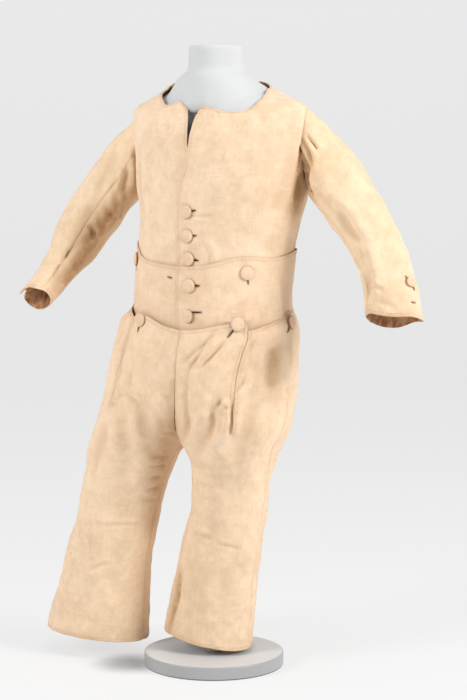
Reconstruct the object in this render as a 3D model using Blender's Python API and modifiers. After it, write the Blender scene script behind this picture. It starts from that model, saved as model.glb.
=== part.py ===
"""A small boy's skeleton suit of the late 18th to early 19th century, worn by a limbless dress form.

The suit is a round-necked jacket buttoned down the front, a separate waistband buttoned over
the jacket, and high trousers whose front fall hangs from corner buttons. It hangs hollow on a
smooth dress form that stands on a pole and a round disc.

Metres, +Z up. The origin is the centre of the disc's underside. The wearer faces -Y, so the
wearer's left is +X. Every cloth piece is an open surface through named sections, thickened to
a wall, and seams between pieces are a narrow gap.
"""

import math

import bmesh
import bpy
import numpy as np
from mathutils import Matrix, Vector

NAME = "skeleton_suit"

# Cloth: the wall of every panel, the gap at a seam, and the step from one layer to the next.
WALL = 0.0012
SEAM_GAP = 0.0004
LAYER = 0.0018
SIDES = {"left": 1, "right": -1}

# The jacket's middle surface, ring by ring. An angle of 0 is centre front, 90 the wearer's left
# side, 180 centre back. SQUARE swells the ring's four diagonals.
SQUARE = 0.04
TORSO_COLUMNS = ("level", "side_z", "front_z", "back_z", "centre_x", "half_width", "front_y", "back_y")
TORSO_ROWS = (
    (-1, 0.410, 0.410, 0.410, -0.004, 0.1075, -0.0710, 0.0770),   # below the hem
    (0, 0.455, 0.455, 0.455, -0.003, 0.1060, -0.0700, 0.0765),    # hem, under the waistband
    (1, 0.500, 0.500, 0.500, -0.0025, 0.1050, -0.0700, 0.0775),   # waist
    (2, 0.555, 0.550, 0.555, 0.0022, 0.1058, -0.0700, 0.0830),    # ribs
    (3, 0.600, 0.594, 0.602, 0.0086, 0.1089, -0.0710, 0.0880),    # chest
    (4, 0.632, 0.627, 0.640, 0.0090, 0.1160, -0.0720, 0.0910),    # armpit
    (5, 0.682, 0.664, 0.684, 0.008, 0.1200, -0.0700, 0.0900),     # middle of the armhole
    (6, 0.727, 0.693, 0.722, 0.006, 0.1200, -0.0640, 0.0820),     # shoulder tip
    (7, 0.7395, 0.711, 0.744, 0.003, 0.0950, -0.0560, 0.0700),    # middle of the shoulder seam
    (8, 0.7495, 0.727, 0.763, 0.001, 0.0700, -0.0490, 0.0600),    # neckline
)
ARMPIT, TIP, NECK = 4, 6, 8

# The neckline dips in front. It is a level by ring angle, and negative angles are the right side.
NECKLINE_COLUMNS = ("angle", "level")
NECKLINE = (
    (-180, 8.0), (-110, 8.0), (-76, 7.8), (-45, 7.9), (-31, 7.8), (-20, 8.0), (-9, 7.85), (8, 8.0),
    (20, 7.85), (28, 7.35), (40, 7.0), (47, 6.95), (58, 7.2), (81, 7.65), (110, 8.0), (180, 8.0),
)
BODY_LEVELS = (0, 0.5, 1, 1.4, 1.7, 2, 3)
ARMHOLE_CELLS = 8
SHOULDER_CELLS = 3

# The side seam lies behind the widest point, and the armhole is cut far back.
SIDE_SEAM = 103.0
SHOULDER_SEAM = 97.0
ARMHOLE_FRONT = 17.0
ARMHOLE_BACK = 36.0
ARMHOLE_ROUND = 0.75

# Front edges by height. The wearer's left front laps over the right one, which gapes at the neck.
EDGE_COLUMNS = ("z", "left_x", "right_x")
EDGE_ROWS = (
    (0.430, -0.0110, 0.0200),
    (0.549, -0.0114, 0.0200),
    (0.599, -0.0121, 0.0200),
    (0.631, -0.0063, 0.0190),
    (0.662, 0.0007, 0.0100),
    (0.676, 0.0032, 0.0032),    # foot of the gape
    (0.697, 0.0046, -0.0006),
    (0.714, 0.0058, -0.0050),
    (0.727, 0.0102, -0.0100),
)
FRONT_COLUMNS = 9
BACK_COLUMNS = 14
LAP_FULL, LAP_NONE = 17.0, 38.0

# Waistband: its free upper edge by ring angle, and its rows from the hidden lower edge.
BAND_TOP_COLUMNS = ("angle", "z")
BAND_TOP = (
    (-180, 0.552), (-110, 0.556), (-62, 0.5535), (-50, 0.5450), (-40, 0.5365), (-24, 0.5320), (-6, 0.5287),
    (8, 0.5287), (24, 0.5340), (33, 0.5392), (70, 0.5402), (95, 0.5450), (180, 0.552),
)
BAND_LEVELS = (-0.42, 0, 0.5, 1, 1.4)

# Sleeves: rings across the arm's path. An angle of 0 is the outer edge, 90 the face towards the
# front, 180 the inner edge. Slant lengthens the outer edge of a ring and lift shortens its face.
# The head of the sleeve runs from the armhole to the first ring.
ARM_CELLS = 2 * ARMHOLE_CELLS
HEAD_CELLS, ARM_ROWS = 4, 10
HEAD_SWELL = 0.45
HEAD_CLEARANCE = 0.006
ARM_FACING = (0.5, -0.866, 0.0)
ARM_COLUMNS = ("row", "x", "y", "z", "broad", "deep", "slant", "lift")
ARM_PATHS = {
    "left": (
        (0, 0.1610, 0.028, 0.637, 0.0380, 0.0345, 0.000, 0.000),
        (1, 0.1862, 0.022, 0.609, 0.0360, 0.0325, 0.000, 0.000),
        (2, 0.2165, 0.018, 0.570, 0.0328, 0.0295, 0.000, 0.000),
        (3, 0.2425, 0.006, 0.531, 0.0315, 0.0255, 0.000, 0.000),
        (4, 0.2556, -0.004, 0.503, 0.0330, 0.0215, 0.003, 0.002),
        (5, 0.2650, -0.010, 0.468, 0.0345, 0.0185, 0.008, 0.009),   # cuff
    ),
    "right": (
        (0, -0.1600, 0.027, 0.637, 0.0385, 0.0350, 0.000, 0.000),
        (1, -0.1795, 0.021, 0.613, 0.0360, 0.0345, 0.000, 0.000),
        (2, -0.1940, 0.009, 0.586, 0.0360, 0.0335, 0.000, 0.000),
        (3, -0.2020, -0.018, 0.552, 0.0318, 0.0315, 0.000, 0.000),
        (4, -0.2050, -0.054, 0.518, 0.0230, 0.0290, 0.001, 0.000),
        (5, -0.2160, -0.090, 0.482, 0.0200, 0.0275, 0.003, 0.002),   # cuff
    ),
}
ARM_SEAMS = {"left": (0, 7), "right": (4, 12)}
ARM_SEAM_TRIM = 0.00045
ARM_GAP_TOP, ARM_GAP_UNDER = 0.0006, 0.0018

# Trousers. Above the crotch each ring is cut by the centre seam; below it each leg is a tube of
# its own. Both tables hold one row past the crotch, which only sets the slope there.
CROTCH_Z = 0.299
WAIST_Z = 0.440
SEAM_CURVE = 2.4
LEG_SQUARE = 0.03
SEAT_COLUMNS = ("z", "seam_x", "left_outer", "right_outer", "front_y", "back_y")
SEAT_ROWS = (
    (0.285, -0.0430, 0.0850, -0.1790, -0.0630, 0.0580),
    (0.299, -0.0370, 0.0910, -0.1745, -0.0665, 0.0660),   # crotch
    (0.319, -0.0255, 0.1010, -0.1680, -0.0720, 0.0750),
    (0.344, -0.0150, 0.1065, -0.1595, -0.0780, 0.0830),   # tacks of the fall
    (0.390, -0.0080, 0.1090, -0.1505, -0.0825, 0.0890),   # hips
    (0.420, -0.0050, 0.1115, -0.1430, -0.0830, 0.0885),
    (0.440, -0.0025, 0.1125, -0.1345, -0.0815, 0.0870),
    (0.462, -0.0010, 0.1095, -0.1225, -0.0800, 0.0835),
    (0.494, -0.0010, 0.1073, -0.1148, -0.0795, 0.0807),   # top of the seat
)
LEG_COLUMNS = ("z", "inner_x", "outer_x", "front_y", "back_y")
LEG_ROWS = {
    "left": (
        (0.025, -0.0770, 0.0460, -0.0390, 0.0590),   # hem
        (0.057, -0.0710, 0.0470, -0.0380, 0.0580),
        (0.089, -0.0620, 0.0500, -0.0370, 0.0570),
        (0.121, -0.0555, 0.0540, -0.0360, 0.0560),
        (0.153, -0.0470, 0.0590, -0.0355, 0.0555),
        (0.185, -0.0395, 0.0635, -0.0350, 0.0550),   # knee
        (0.216, -0.0325, 0.0685, -0.0360, 0.0560),
        (0.249, -0.0285, 0.0750, -0.0420, 0.0590),
        (0.280, -0.0290, 0.0825, -0.0585, 0.0640),
        (0.299, -0.0370, 0.0910, -0.0665, 0.0660),   # crotch
        (0.310, -0.0440, 0.0960, -0.0695, 0.0680),
    ),
    "right": (
        (0.025, -0.0990, -0.2450, -0.0670, 0.0310),   # hem
        (0.057, -0.0980, -0.2380, -0.0660, 0.0300),
        (0.089, -0.0965, -0.2265, -0.0650, 0.0290),
        (0.121, -0.0945, -0.2155, -0.0640, 0.0280),
        (0.153, -0.0890, -0.2065, -0.0635, 0.0265),
        (0.185, -0.0830, -0.1950, -0.0630, 0.0250),   # knee
        (0.216, -0.0735, -0.1870, -0.0630, 0.0250),
        (0.249, -0.0630, -0.1820, -0.0625, 0.0290),
        (0.280, -0.0510, -0.1805, -0.0622, 0.0430),
        (0.299, -0.0370, -0.1745, -0.0665, 0.0660),   # crotch
        (0.310, -0.0250, -0.1710, -0.0695, 0.0720),
    ),
}
HEM_Z = {"left": 0.0335, "right": 0.0275}
HEM_TILT = {"left": -0.0105, "right": 0.0040}
LEG_LEVELS = (0.060, 0.090, 0.120, 0.150, 0.180, 0.207, 0.232, 0.255, 0.275, 0.288, CROTCH_Z,
              0.3025, 0.311, 0.324, 0.342, 0.364, 0.386, 0.408, 0.428)
TOP_CELLS = 3
TACK_Z = 0.342
FALL_COLUMNS, FLANK_COLUMNS, SEAT_PANEL_COLUMNS = 7, 4, 11

# The fall's slits run from the waist down to a tack, at these ring angles.
SLIT_TOP = {"left": 43.5, "right": 51.0}
SLIT_TACK = {"left": 57.5, "right": 53.0}
SLIT_GAP = 0.0010
FALL_TOP_COLUMNS = ("share", "left", "right")
FALL_TOP = ((0, 0.4475, 0.4475), (0.3, 0.4500, 0.4525), (0.6, 0.4555, 0.4615), (1, 0.4615, 0.4665))
FLANK_TOP = {"left": (0.4480, 0.4680), "right": (0.4600, 0.4780)}
SEAT_TOP = {"left": (0.4690, 0.4920), "right": (0.4790, 0.4920)}

# Broad folds of the trousers as soft troughs and ridges. A row is the fold's two ends in x and z,
# its half width, and its depth, which is negative in a trough.
FOLDS = {
    "trouser_front_left": (
        (0.046, 0.345, 0.004, 0.270, 0.012, -0.0050),
        (0.030, 0.350, 0.046, 0.290, 0.011, 0.0030),
        (0.098, 0.395, 0.090, 0.350, 0.016, -0.0060),
        (0.020, 0.215, -0.030, 0.200, 0.012, -0.0022),
    ),
    "trouser_front_right": (
        (-0.098, 0.345, -0.090, 0.268, 0.014, -0.0050),
        (-0.076, 0.325, -0.070, 0.275, 0.011, 0.0028),
        (-0.120, 0.205, -0.165, 0.215, 0.012, -0.0022),
    ),
    "trouser_back_left": (
        (0.030, 0.330, 0.060, 0.250, 0.014, -0.0045),
        (0.060, 0.360, 0.088, 0.300, 0.013, 0.0030),
    ),
    "trouser_back_right": (
        (-0.080, 0.330, -0.100, 0.250, 0.014, -0.0045),
        (-0.060, 0.360, -0.125, 0.300, 0.013, 0.0030),
    ),
}

# Buttons: cloth-covered domes. Front ones by height and x, the others by ring angle and height.
BUTTON_RADIUS = 0.0090
BUTTON_HEIGHT = 0.0032
BUTTON_PROFILE = ((0, 1), (0.7, 0.88), (1, 0.45), (0.93, 0), (0, 0))
BUTTON_STEPS = 14
BUTTON_GAP = 0.0003
TROUSER_BUTTON_GAP = 0.0008
FRONT_BUTTONS = ((0.597, 0.0035), (0.5665, 0.0045), (0.5375, 0.0060), (0.504, 0.0090), (0.4655, 0.0105))
JACKET_BUTTONS = 3
BAND_BUTTONS = (("left", 46.0, 0.5210), ("right", -56.0, 0.5335))
FALL_BUTTON_Z = 0.4570
FALL_BUTTON_INSET = {"left": 6.5, "right": 8.0}
SIDE_BUTTON_Z = 0.4560
SIDE_BUTTON_ANGLE = 4.0
BACK_BUTTON_Z = 0.4750
BACK_BUTTON_ANGLE = 57.0
CUFF_BUTTON_ROW, CUFF_BUTTON_ANGLE, CUFF_BUTTON_RADIUS = 3.95, 42.0, 0.0065

# Dress form. Its rings lie inside the jacket's, by level and inset. Above them is the neck, by z,
# half width and half depth, and below them the rounded hips, by z and half width.
FORM_ROWS = ((-0.7, 0.0045), (0.5, 0.0040), (1.4, 0.0036), (2, 0.0035), (3, 0.0032), (4, 0.0032),
             (4.5, 0.0034), (5, 0.0036), (5.5, 0.0038), (5.8, 0.0044), (6, 0.0042), (6.333, 0.0030),
             (6.667, 0.0018), (7, 0.0016), (7.333, 0.0020), (7.7, 0.0032), (8, 0.0042))
FORM_HIPS = ((0.392, 0.098), (0.376, 0.088), (0.366, 0.070), (0.362, 0.040))
HIP_CENTRE_Y, HIP_DEPTH = 0.003, 0.70
NECK_ROWS = ((0.7620, 0.0490, 0.0425), (0.7690, 0.0400, 0.0375), (0.7770, 0.0358, 0.0350),
             (0.7920, 0.0350, 0.0345), (0.8025, 0.0348, 0.0343), (0.8060, 0.0330, 0.0325),
             (0.8070, 0.0290, 0.0286))
NECK_CENTRE = (0.0015, 0.004)
FORM_SEGMENTS = 36
POLE_RADIUS = 0.0110
DISC_RADIUS = 0.0917
DISC_HEIGHT = 0.0180
DISC_BEVEL = 0.0020
CONTACT = 0.0003

# Colours, roughness and metallic value.
FINISHES = {
    "cloth": ((0.76, 0.60, 0.40, 1), 0.85, 0.0),
    "covered_button": ((0.74, 0.57, 0.39, 1), 0.80, 0.0),
    "form": ((0.78, 0.78, 0.76, 1), 0.60, 0.0),
    "base": ((0.74, 0.75, 0.74, 1), 0.45, 0.0),
}


def smooth(rows, columns, name, at):
    """Read one column of a table at any first-column value, along a smooth curve through its rows."""
    table = np.array(rows, dtype=float)
    knots, values = table[:, 0], table[:, columns.index(name)]
    slopes = np.gradient(values, knots)
    at = np.clip(np.asarray(at, dtype=float), knots[0], knots[-1])
    start = np.clip(np.searchsorted(knots, at, side="right") - 1, 0, len(knots) - 2)
    span = knots[start + 1] - knots[start]
    t = (at - knots[start]) / span
    rise = values[start + 1] - values[start]
    entry, leave = slopes[start] * span, slopes[start + 1] * span
    return (values[start] + t * entry + t ** 2 * (3 * rise - 2 * entry - leave)
            + t ** 3 * (entry + leave - 2 * rise))


def ramp(value, low, high):
    """Rise smoothly from 0 at low to 1 at high."""
    t = np.clip((np.asarray(value, dtype=float) - low) / (high - low), 0, 1)
    return t * t * (3 - 2 * t)


def torso(angle, level, out=0.0):
    """Point of the jacket's ring at a level and an angle in degrees, moved out from the ring."""
    angle, level = np.broadcast_arrays(np.radians(angle), np.asarray(level, dtype=float))
    ring = {name: smooth(TORSO_ROWS, TORSO_COLUMNS, name, level) for name in TORSO_COLUMNS}
    centre_y = (ring["front_y"] + ring["back_y"]) / 2
    depth = (ring["back_y"] - ring["front_y"]) / 2
    swell = 1 + SQUARE * np.sin(2 * angle) ** 2
    fore, aft = np.maximum(np.cos(angle), 0) ** 2, np.maximum(-np.cos(angle), 0) ** 2
    return np.stack([
        ring["centre_x"] + (ring["half_width"] + out) * np.sin(angle) * swell,
        centre_y - (depth + out) * np.cos(angle) * swell,
        ring["side_z"] + (ring["front_z"] - ring["side_z"]) * fore + (ring["back_z"] - ring["side_z"]) * aft,
    ], axis=-1)


def scoop(angle, level):
    """Level of a point when those above the shoulder tip are drawn down to the neckline."""
    top = smooth(NECKLINE, NECKLINE_COLUMNS, "level", (np.asarray(angle) + 180) % 360 - 180)
    return np.where(level > TIP, TIP + (level - TIP) * (top - TIP) / (NECK - TIP), level)


def level_at(z):
    """Level of the torso's ring whose side lies at a height."""
    table = np.array(TORSO_ROWS)
    return np.interp(z, table[:, TORSO_COLUMNS.index("side_z")], table[:, 0])


def edge_angle(level, side):
    """Angle of a front edge, from its distance in x at the ring's own front height."""
    z = smooth(TORSO_ROWS, TORSO_COLUMNS, "front_z", level)
    x = smooth(EDGE_ROWS, EDGE_COLUMNS, side + "_x", z)
    centre_x = smooth(TORSO_ROWS, TORSO_COLUMNS, "centre_x", level)
    half_width = smooth(TORSO_ROWS, TORSO_COLUMNS, "half_width", level)
    return np.degrees(np.arcsin((x - centre_x) / half_width))


def armhole_angle(level, swing):
    """Angle of the armhole's edge: the side seam's, swung forward or back between armpit and tip."""
    t = np.clip((np.asarray(level, dtype=float) - ARMPIT) / (TIP - ARMPIT), 0, 1)
    seam = SIDE_SEAM + (SHOULDER_SEAM - SIDE_SEAM) * t
    return seam + swing * np.sin(math.pi * t) ** ARMHOLE_ROUND


def body_levels():
    """Levels of the jacket's rows, with exact rows at the armpit and the shoulder tip."""
    return np.concatenate([
        BODY_LEVELS,
        np.linspace(ARMPIT, TIP, ARMHOLE_CELLS + 1)[:-1],
        np.linspace(TIP, NECK, SHOULDER_CELLS + 1),
    ])


def lap(angle, layers):
    """Extra distance out where a piece passes over other layers near centre front."""
    return layers * LAYER * (1 - ramp(np.abs(angle), LAP_FULL, LAP_NONE))


def front_points(side):
    """Jacket front from its free front edge to the side seam, armhole and shoulder seam."""
    sign = SIDES[side]
    level = body_levels()[:, None]
    share = np.linspace(0, 1, FRONT_COLUMNS + 1)[None, :]
    for _ in range(2):
        start = edge_angle(level, side) * sign
        angle = start + (armhole_angle(level, -ARMHOLE_FRONT) - start) * share
        level = scoop(angle * sign, body_levels()[:, None])
    layers = 1 if side == "left" else 0
    return trim(torso(angle * sign, level, lap(angle, layers)), last=True)


def back_points():
    """Jacket back, in one piece between the two side seams."""
    level = body_levels()[:, None]
    start = armhole_angle(level, ARMHOLE_BACK)
    angle = start + (360 - 2 * start) * np.linspace(0, 1, BACK_COLUMNS + 1)[None, :]
    return trim(torso(angle, scoop(angle, level)), first=True, last=True)


def trim(points, first=False, last=False, by=SEAM_GAP / 2):
    """Draw the first or last column of a grid back from the seam by half a gap."""
    points = points.copy()
    for wanted, edge, inner in ((first, 0, 1), (last, -1, -2)):
        if wanted:
            step = points[:, inner] - points[:, edge]
            points[:, edge] += step * by / np.linalg.norm(step, axis=-1, keepdims=True)
    return points


def band_points(side):
    """One half of the waistband, lapped at centre front and seamed at centre back."""
    sign = SIDES[side]
    middle = edge_angle(1.0, side) * sign
    angle = np.linspace(middle, 180, 2 * FRONT_COLUMNS + 1)[None, :]
    top = smooth(BAND_TOP, BAND_TOP_COLUMNS, "z", angle * sign)
    level = np.vstack([np.repeat(np.array(BAND_LEVELS)[:, None], angle.size, axis=1), level_at(top)])
    out = LAYER + lap(angle, 2 if side == "left" else 1)
    points = torso(angle * sign, level, out)
    points[-1, :, 2] = top
    return trim(points, last=True)


def armhole(side, angle):
    """Point of the armhole's edge: 0 is the shoulder tip, 90 the front, 180 the armpit."""
    angle = np.asarray(angle, dtype=float) % 360
    fall = np.where(angle <= 180, angle, 360 - angle) / 180
    level = TIP - (TIP - ARMPIT) * fall
    swing = np.where(angle <= 180, -ARMHOLE_FRONT, ARMHOLE_BACK)
    turn = armhole_angle(level, 1.0) - armhole_angle(level, 0.0)
    points = torso(SIDES[side] * (armhole_angle(level, 0.0) + swing * turn), level)
    away = ARM_GAP_TOP + (ARM_GAP_UNDER - ARM_GAP_TOP) * fall
    points[..., 0] += SIDES[side] * away
    return points


def sleeve(side, angle, row):
    """Point of a sleeve's tube at a ring angle and a row of its path, and the path's direction."""
    rows, step = ARM_PATHS[side], 0.01
    angle, row = np.broadcast_arrays(np.radians(angle), np.asarray(row, dtype=float))
    ring = {name: smooth(rows, ARM_COLUMNS, name, row)[..., None] for name in ARM_COLUMNS}

    def path(at):
        return np.stack([smooth(rows, ARM_COLUMNS, name, at) for name in "xyz"], axis=-1)

    ahead = path(np.minimum(row + step, rows[-1][0])) - path(np.maximum(row - step, 0))
    ahead /= np.linalg.norm(ahead, axis=-1, keepdims=True)
    outer = np.cross(ahead, np.array(ARM_FACING)) * -SIDES[side]
    outer /= np.linalg.norm(outer, axis=-1, keepdims=True)
    face = np.cross(ahead, outer) * SIDES[side]
    centre = np.concatenate([ring["x"], ring["y"], ring["z"]], axis=-1)
    cos, sin = np.cos(angle)[..., None], np.sin(angle)[..., None]
    point = (centre + outer * ring["broad"] * cos + face * ring["deep"] * sin
             + ahead * (ring["slant"] * cos - ring["lift"] * sin))
    return point, ahead


def sleeve_points(side, first, last):
    """One sleeve piece between two of the ring's columns, from armhole to cuff."""
    angle = np.arange(first, last + 1)[None, :] * 360 / ARM_CELLS
    tube, _ = sleeve(side, angle, np.linspace(0, ARM_PATHS[side][-1][0], ARM_ROWS + 1)[:, None])
    ring, ahead = sleeve(side, angle, 0)
    start = armhole(side, angle)
    reach = np.linalg.norm(ring - start, axis=-1, keepdims=True)
    bend = ring - ahead * reach * HEAD_SWELL
    bend[..., 0] += SIDES[side] * HEAD_CLEARANCE * (1 - np.cos(np.radians(angle))) / 2
    t = np.linspace(0, 1, HEAD_CELLS + 1)[:-1, None, None]
    head = (1 - t) ** 2 * start + 2 * t * (1 - t) * bend + t ** 2 * ring
    return trim(np.concatenate([head, tube]), first=True, last=True, by=ARM_SEAM_TRIM)


def seam_turn(z):
    """Ring angle at which a half meets the centre seam: 90 at the waist, 180 at the crotch."""
    t = np.clip((np.asarray(z, dtype=float) - CROTCH_Z) / (WAIST_Z - CROTCH_Z), 0, 1)
    return np.degrees(np.arccos(-(1 - t) ** SEAM_CURVE))


def leg(side, angle, z, out=0.0):
    """Point of a trouser half: angle 0 is the outseam, negative the front, positive the back."""
    sign = SIDES[side]
    angle, z = np.broadcast_arrays(np.asarray(angle, dtype=float), np.asarray(z, dtype=float))
    upper = z >= CROTCH_Z
    inner = np.where(upper, smooth(SEAT_ROWS, SEAT_COLUMNS, "seam_x", z),
                     smooth(LEG_ROWS[side], LEG_COLUMNS, "inner_x", z))
    outer = np.where(upper, smooth(SEAT_ROWS, SEAT_COLUMNS, side + "_outer", z),
                     smooth(LEG_ROWS[side], LEG_COLUMNS, "outer_x", z))
    front, back = (np.where(upper, smooth(SEAT_ROWS, SEAT_COLUMNS, name, z),
                            smooth(LEG_ROWS[side], LEG_COLUMNS, name, z)) for name in ("front_y", "back_y"))
    meet, turn = np.radians(seam_turn(z)), np.radians(angle)
    reach = 1 - np.cos(meet) * (1 + LEG_SQUARE * np.sin(2 * meet) ** 2)
    half_width = sign * (outer - inner) / reach
    swell = 1 + LEG_SQUARE * np.sin(2 * turn) ** 2
    x = outer - sign * half_width + sign * (half_width + out) * np.cos(turn) * swell
    y = (front + back) / 2 + ((back - front) / 2 + out) * np.sin(turn) * swell
    return np.stack([x, y, z], axis=-1)


def slit_angle(side, z):
    """Ring angle of the fall's slit, and of the line below its tack."""
    return np.interp(z, (TACK_Z, WAIST_Z), (SLIT_TACK[side], SLIT_TOP[side]))


def part_seam(points, side, column):
    """Draw the centre seam's column off the middle plane, and the inseam's column off the seam."""
    z = points[:, column, 2]
    lean = np.abs(np.cos(np.radians(seam_turn(z))))
    upper = z >= CROTCH_Z - SEAM_GAP
    points[:, column, 0] += np.where(upper, SIDES[side] * (SEAM_GAP / 2 + lean * (WALL + SEAM_GAP) / 2), 0)
    inner = 1 if column == 0 else -2
    step = points[:, inner] - points[:, column]
    step *= SEAM_GAP / 2 / np.linalg.norm(step, axis=-1, keepdims=True)
    points[:, column] += np.where(z[:, None] <= CROTCH_Z + SEAM_GAP, step, 0)


def fold_push(points, name):
    """Distance out at each point: its panel's folds, each fading away from its own line."""
    push = np.zeros(points.shape[:-1])
    for from_x, from_z, to_x, to_z, half_width, depth in FOLDS.get(name, ()):
        start, line = np.array([from_x, from_z]), np.array([to_x - from_x, to_z - from_z])
        spot = points[..., [0, 2]] - start
        t = np.clip((spot @ line) / (line @ line), 0, 1)
        away = np.linalg.norm(spot - t[..., None] * line, axis=-1)
        push += depth * np.exp(-(away / half_width) ** 2)
    return push


def leg_grid(name, side, angles, top, u):
    """Grid of a trouser panel from ring angles and the height of its top edge, per column."""
    rows = [HEM_Z[side] + HEM_TILT[side] * np.cos(np.radians(angles(HEM_Z[side])))]
    rows += [np.full(len(u), level) for level in LEG_LEVELS]
    rows += [LEG_LEVELS[-1] + (top - LEG_LEVELS[-1]) * k / TOP_CELLS for k in range(1, TOP_CELLS + 1)]
    z = np.array(rows)
    turn = np.array([angles(level) for level in z.mean(axis=1)])
    fade = ramp(np.minimum(u, 1 - u), 0, 0.14)[None, :]
    return leg(side, turn, z, fold_push(leg(side, turn, z), name) * fade)


def trouser_front(side):
    """Front panel as two grids, the fall and the flank, joined below the slit's tack."""
    name = "trouser_front_" + side
    share = FALL_COLUMNS / (FALL_COLUMNS + FLANK_COLUMNS)
    fall_u = np.linspace(0, share, FALL_COLUMNS + 1)
    flank_u = np.linspace(share, 1, FLANK_COLUMNS + 1)

    def fall_angles(z):
        return -seam_turn(z) + (seam_turn(z) - slit_angle(side, z)) * fall_u / share

    def flank_angles(z):
        return -slit_angle(side, z) * (1 - flank_u) / (1 - share)

    fall_top = smooth(FALL_TOP, FALL_TOP_COLUMNS, side, fall_u / share)
    flank_top = np.linspace(*FLANK_TOP[side], FLANK_COLUMNS + 1)
    fall = leg_grid(name, side, fall_angles, fall_top, fall_u)
    flank = leg_grid(name, side, flank_angles, flank_top, flank_u)
    part_seam(fall, side, 0)
    opened = SLIT_GAP / 2 * ramp(fall[:, -1, 2], TACK_Z, TACK_Z + 0.02)[:, None]
    fall = trim(fall, last=True, by=opened)
    flank = trim(trim(flank, first=True, by=opened), last=True)
    return [fall, flank]


def trouser_back(side):
    """Back panel, from the outseam to the centre-back seam and inseam."""
    u = np.linspace(0, 1, SEAT_PANEL_COLUMNS + 1)
    top = np.linspace(*SEAT_TOP[side], SEAT_PANEL_COLUMNS + 1)
    grid = leg_grid("trouser_back_" + side, side, lambda z: seam_turn(z) * u, top, u)
    part_seam(grid, side, -1)
    return [trim(grid, first=True)]


def finish(name):
    """Material of a finish, made once."""
    if name in bpy.data.materials:
        return bpy.data.materials[name]
    colour, roughness, metallic = FINISHES[name]
    material = bpy.data.materials.new(name)
    material.use_nodes = True
    shader = material.node_tree.nodes["Principled BSDF"]
    shader.inputs["Base Color"].default_value = colour
    shader.inputs["Roughness"].default_value = roughness
    shader.inputs["Metallic"].default_value = metallic
    return material


def place(name, mesh, collection, look, smooth_angle=40):
    """Put a mesh in the collection as a named object with its finish."""
    mesh.materials.append(finish(look))
    mesh.shade_smooth()
    mesh.set_sharp_from_angle(angle=math.radians(smooth_angle))
    piece = bpy.data.objects.new(name, mesh)
    collection.objects.link(piece)
    return piece


def loft(grids, closed=False):
    """Mesh of one or more point grids, welded where they share points."""
    bm = bmesh.new()
    for points in grids:
        rows, columns = points.shape[:2]
        spots = [[bm.verts.new(point) for point in row] for row in points.tolist()]
        for r in range(rows - 1):
            for c in range(columns if closed else columns - 1):
                d = (c + 1) % columns
                bm.faces.new((spots[r][c], spots[r][d], spots[r + 1][d], spots[r + 1][c]))
        if closed:
            bm.faces.new(spots[0][::-1])
            bm.faces.new(spots[-1])
    bmesh.ops.remove_doubles(bm, verts=bm.verts, dist=0.00001)
    bmesh.ops.recalc_face_normals(bm, faces=bm.faces)
    mesh = bpy.data.meshes.new("loft")
    bm.to_mesh(mesh)
    bm.free()
    return mesh


def cloth(name, grids, collection):
    """Cloth panel: an open surface thickened evenly to both sides."""
    piece = place(name, loft(grids), collection, "cloth")
    wall = piece.modifiers.new("wall", "SOLIDIFY")
    wall.thickness = WALL
    wall.offset = 0
    return piece


def seat_at(surface, angle, height):
    """Point and outward normal of a surface function of an angle and a height."""
    step = 0.5
    point = Vector(surface(angle, height))
    across = Vector(surface(angle + step, height)) - Vector(surface(angle - step, height))
    up = Vector(surface(angle, height + 0.002)) - Vector(surface(angle, height - 0.002))
    normal = across.cross(up).normalized()
    return point, normal


def button(name, surface, angle, height, middle, collection, radius=BUTTON_RADIUS, gap=BUTTON_GAP):
    """Cloth-covered domed button, lying on a surface and facing away from a middle point."""
    point, normal = seat_at(surface, angle, height)
    if normal.dot(point - Vector(middle)) < 0:
        normal.negate()
    profile = [(radius * across, BUTTON_HEIGHT * up) for across, up in BUTTON_PROFILE]
    mesh = bpy.data.meshes.new(name)
    mesh.from_pydata([(x, 0, z) for x, z in profile], [(k, k + 1) for k in range(len(profile) - 1)], [])
    piece = place(name, mesh, collection, "covered_button")
    turned = piece.modifiers.new("turned", "SCREW")
    turned.steps = turned.render_steps = BUTTON_STEPS
    turned.use_merge_vertices = True
    turned.merge_threshold = 0.00005
    piece.location = point + normal * (WALL / 2 + gap)
    piece.rotation_euler = normal.to_track_quat("Z", "Y").to_euler()
    return piece


def band_surface(side):
    """Waistband's middle surface as a function of an angle and a height."""
    def surface(angle, z):
        out = LAYER + lap(angle, 2 if side == "left" else 1)
        x, y, _ = torso(angle, level_at(z), out)
        return x, y, z
    return surface


def jacket_surface(angle, z):
    """Left front's middle surface as a function of an angle and a height."""
    x, y, _ = torso(angle, level_at(z), lap(angle, 1))
    return x, y, z


def angle_at_x(surface, x, z):
    """Angle near centre front at which a surface reaches an x."""
    angles = np.linspace(-25, 25, 201)
    return float(np.interp(x, [surface(angle, z)[0] for angle in angles], angles))


def half_surface(side):
    """Middle surface of a trouser half as a function of an angle and a height."""
    def surface(angle, z):
        return leg(side, angle, z)
    return surface


def buttons(collection):
    """Buttons of the front, waistband, fall corners, sides and back waist."""
    for number, (z, x) in enumerate(FRONT_BUTTONS, 1):
        surface = jacket_surface if number <= JACKET_BUTTONS else band_surface("left")
        angle = angle_at_x(surface, x, z)
        button(f"button_front_{number}", surface, angle, z, (0, 0.01, z), collection)
    for side, angle, z in BAND_BUTTONS:
        button("button_waistband_" + side, band_surface(side), angle, z, (0, 0.01, z), collection)
    for side in SIDES:
        spots = {"fall": (-SLIT_TOP[side] - FALL_BUTTON_INSET[side], FALL_BUTTON_Z),
                 "side": (SIDE_BUTTON_ANGLE, SIDE_BUTTON_Z),
                 "back": (BACK_BUTTON_ANGLE, BACK_BUTTON_Z)}
        for spot, (angle, z) in spots.items():
            button(f"button_{spot}_{side}", half_surface(side), angle, z, (0, 0.01, z), collection,
                   gap=TROUSER_BUTTON_GAP)


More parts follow.
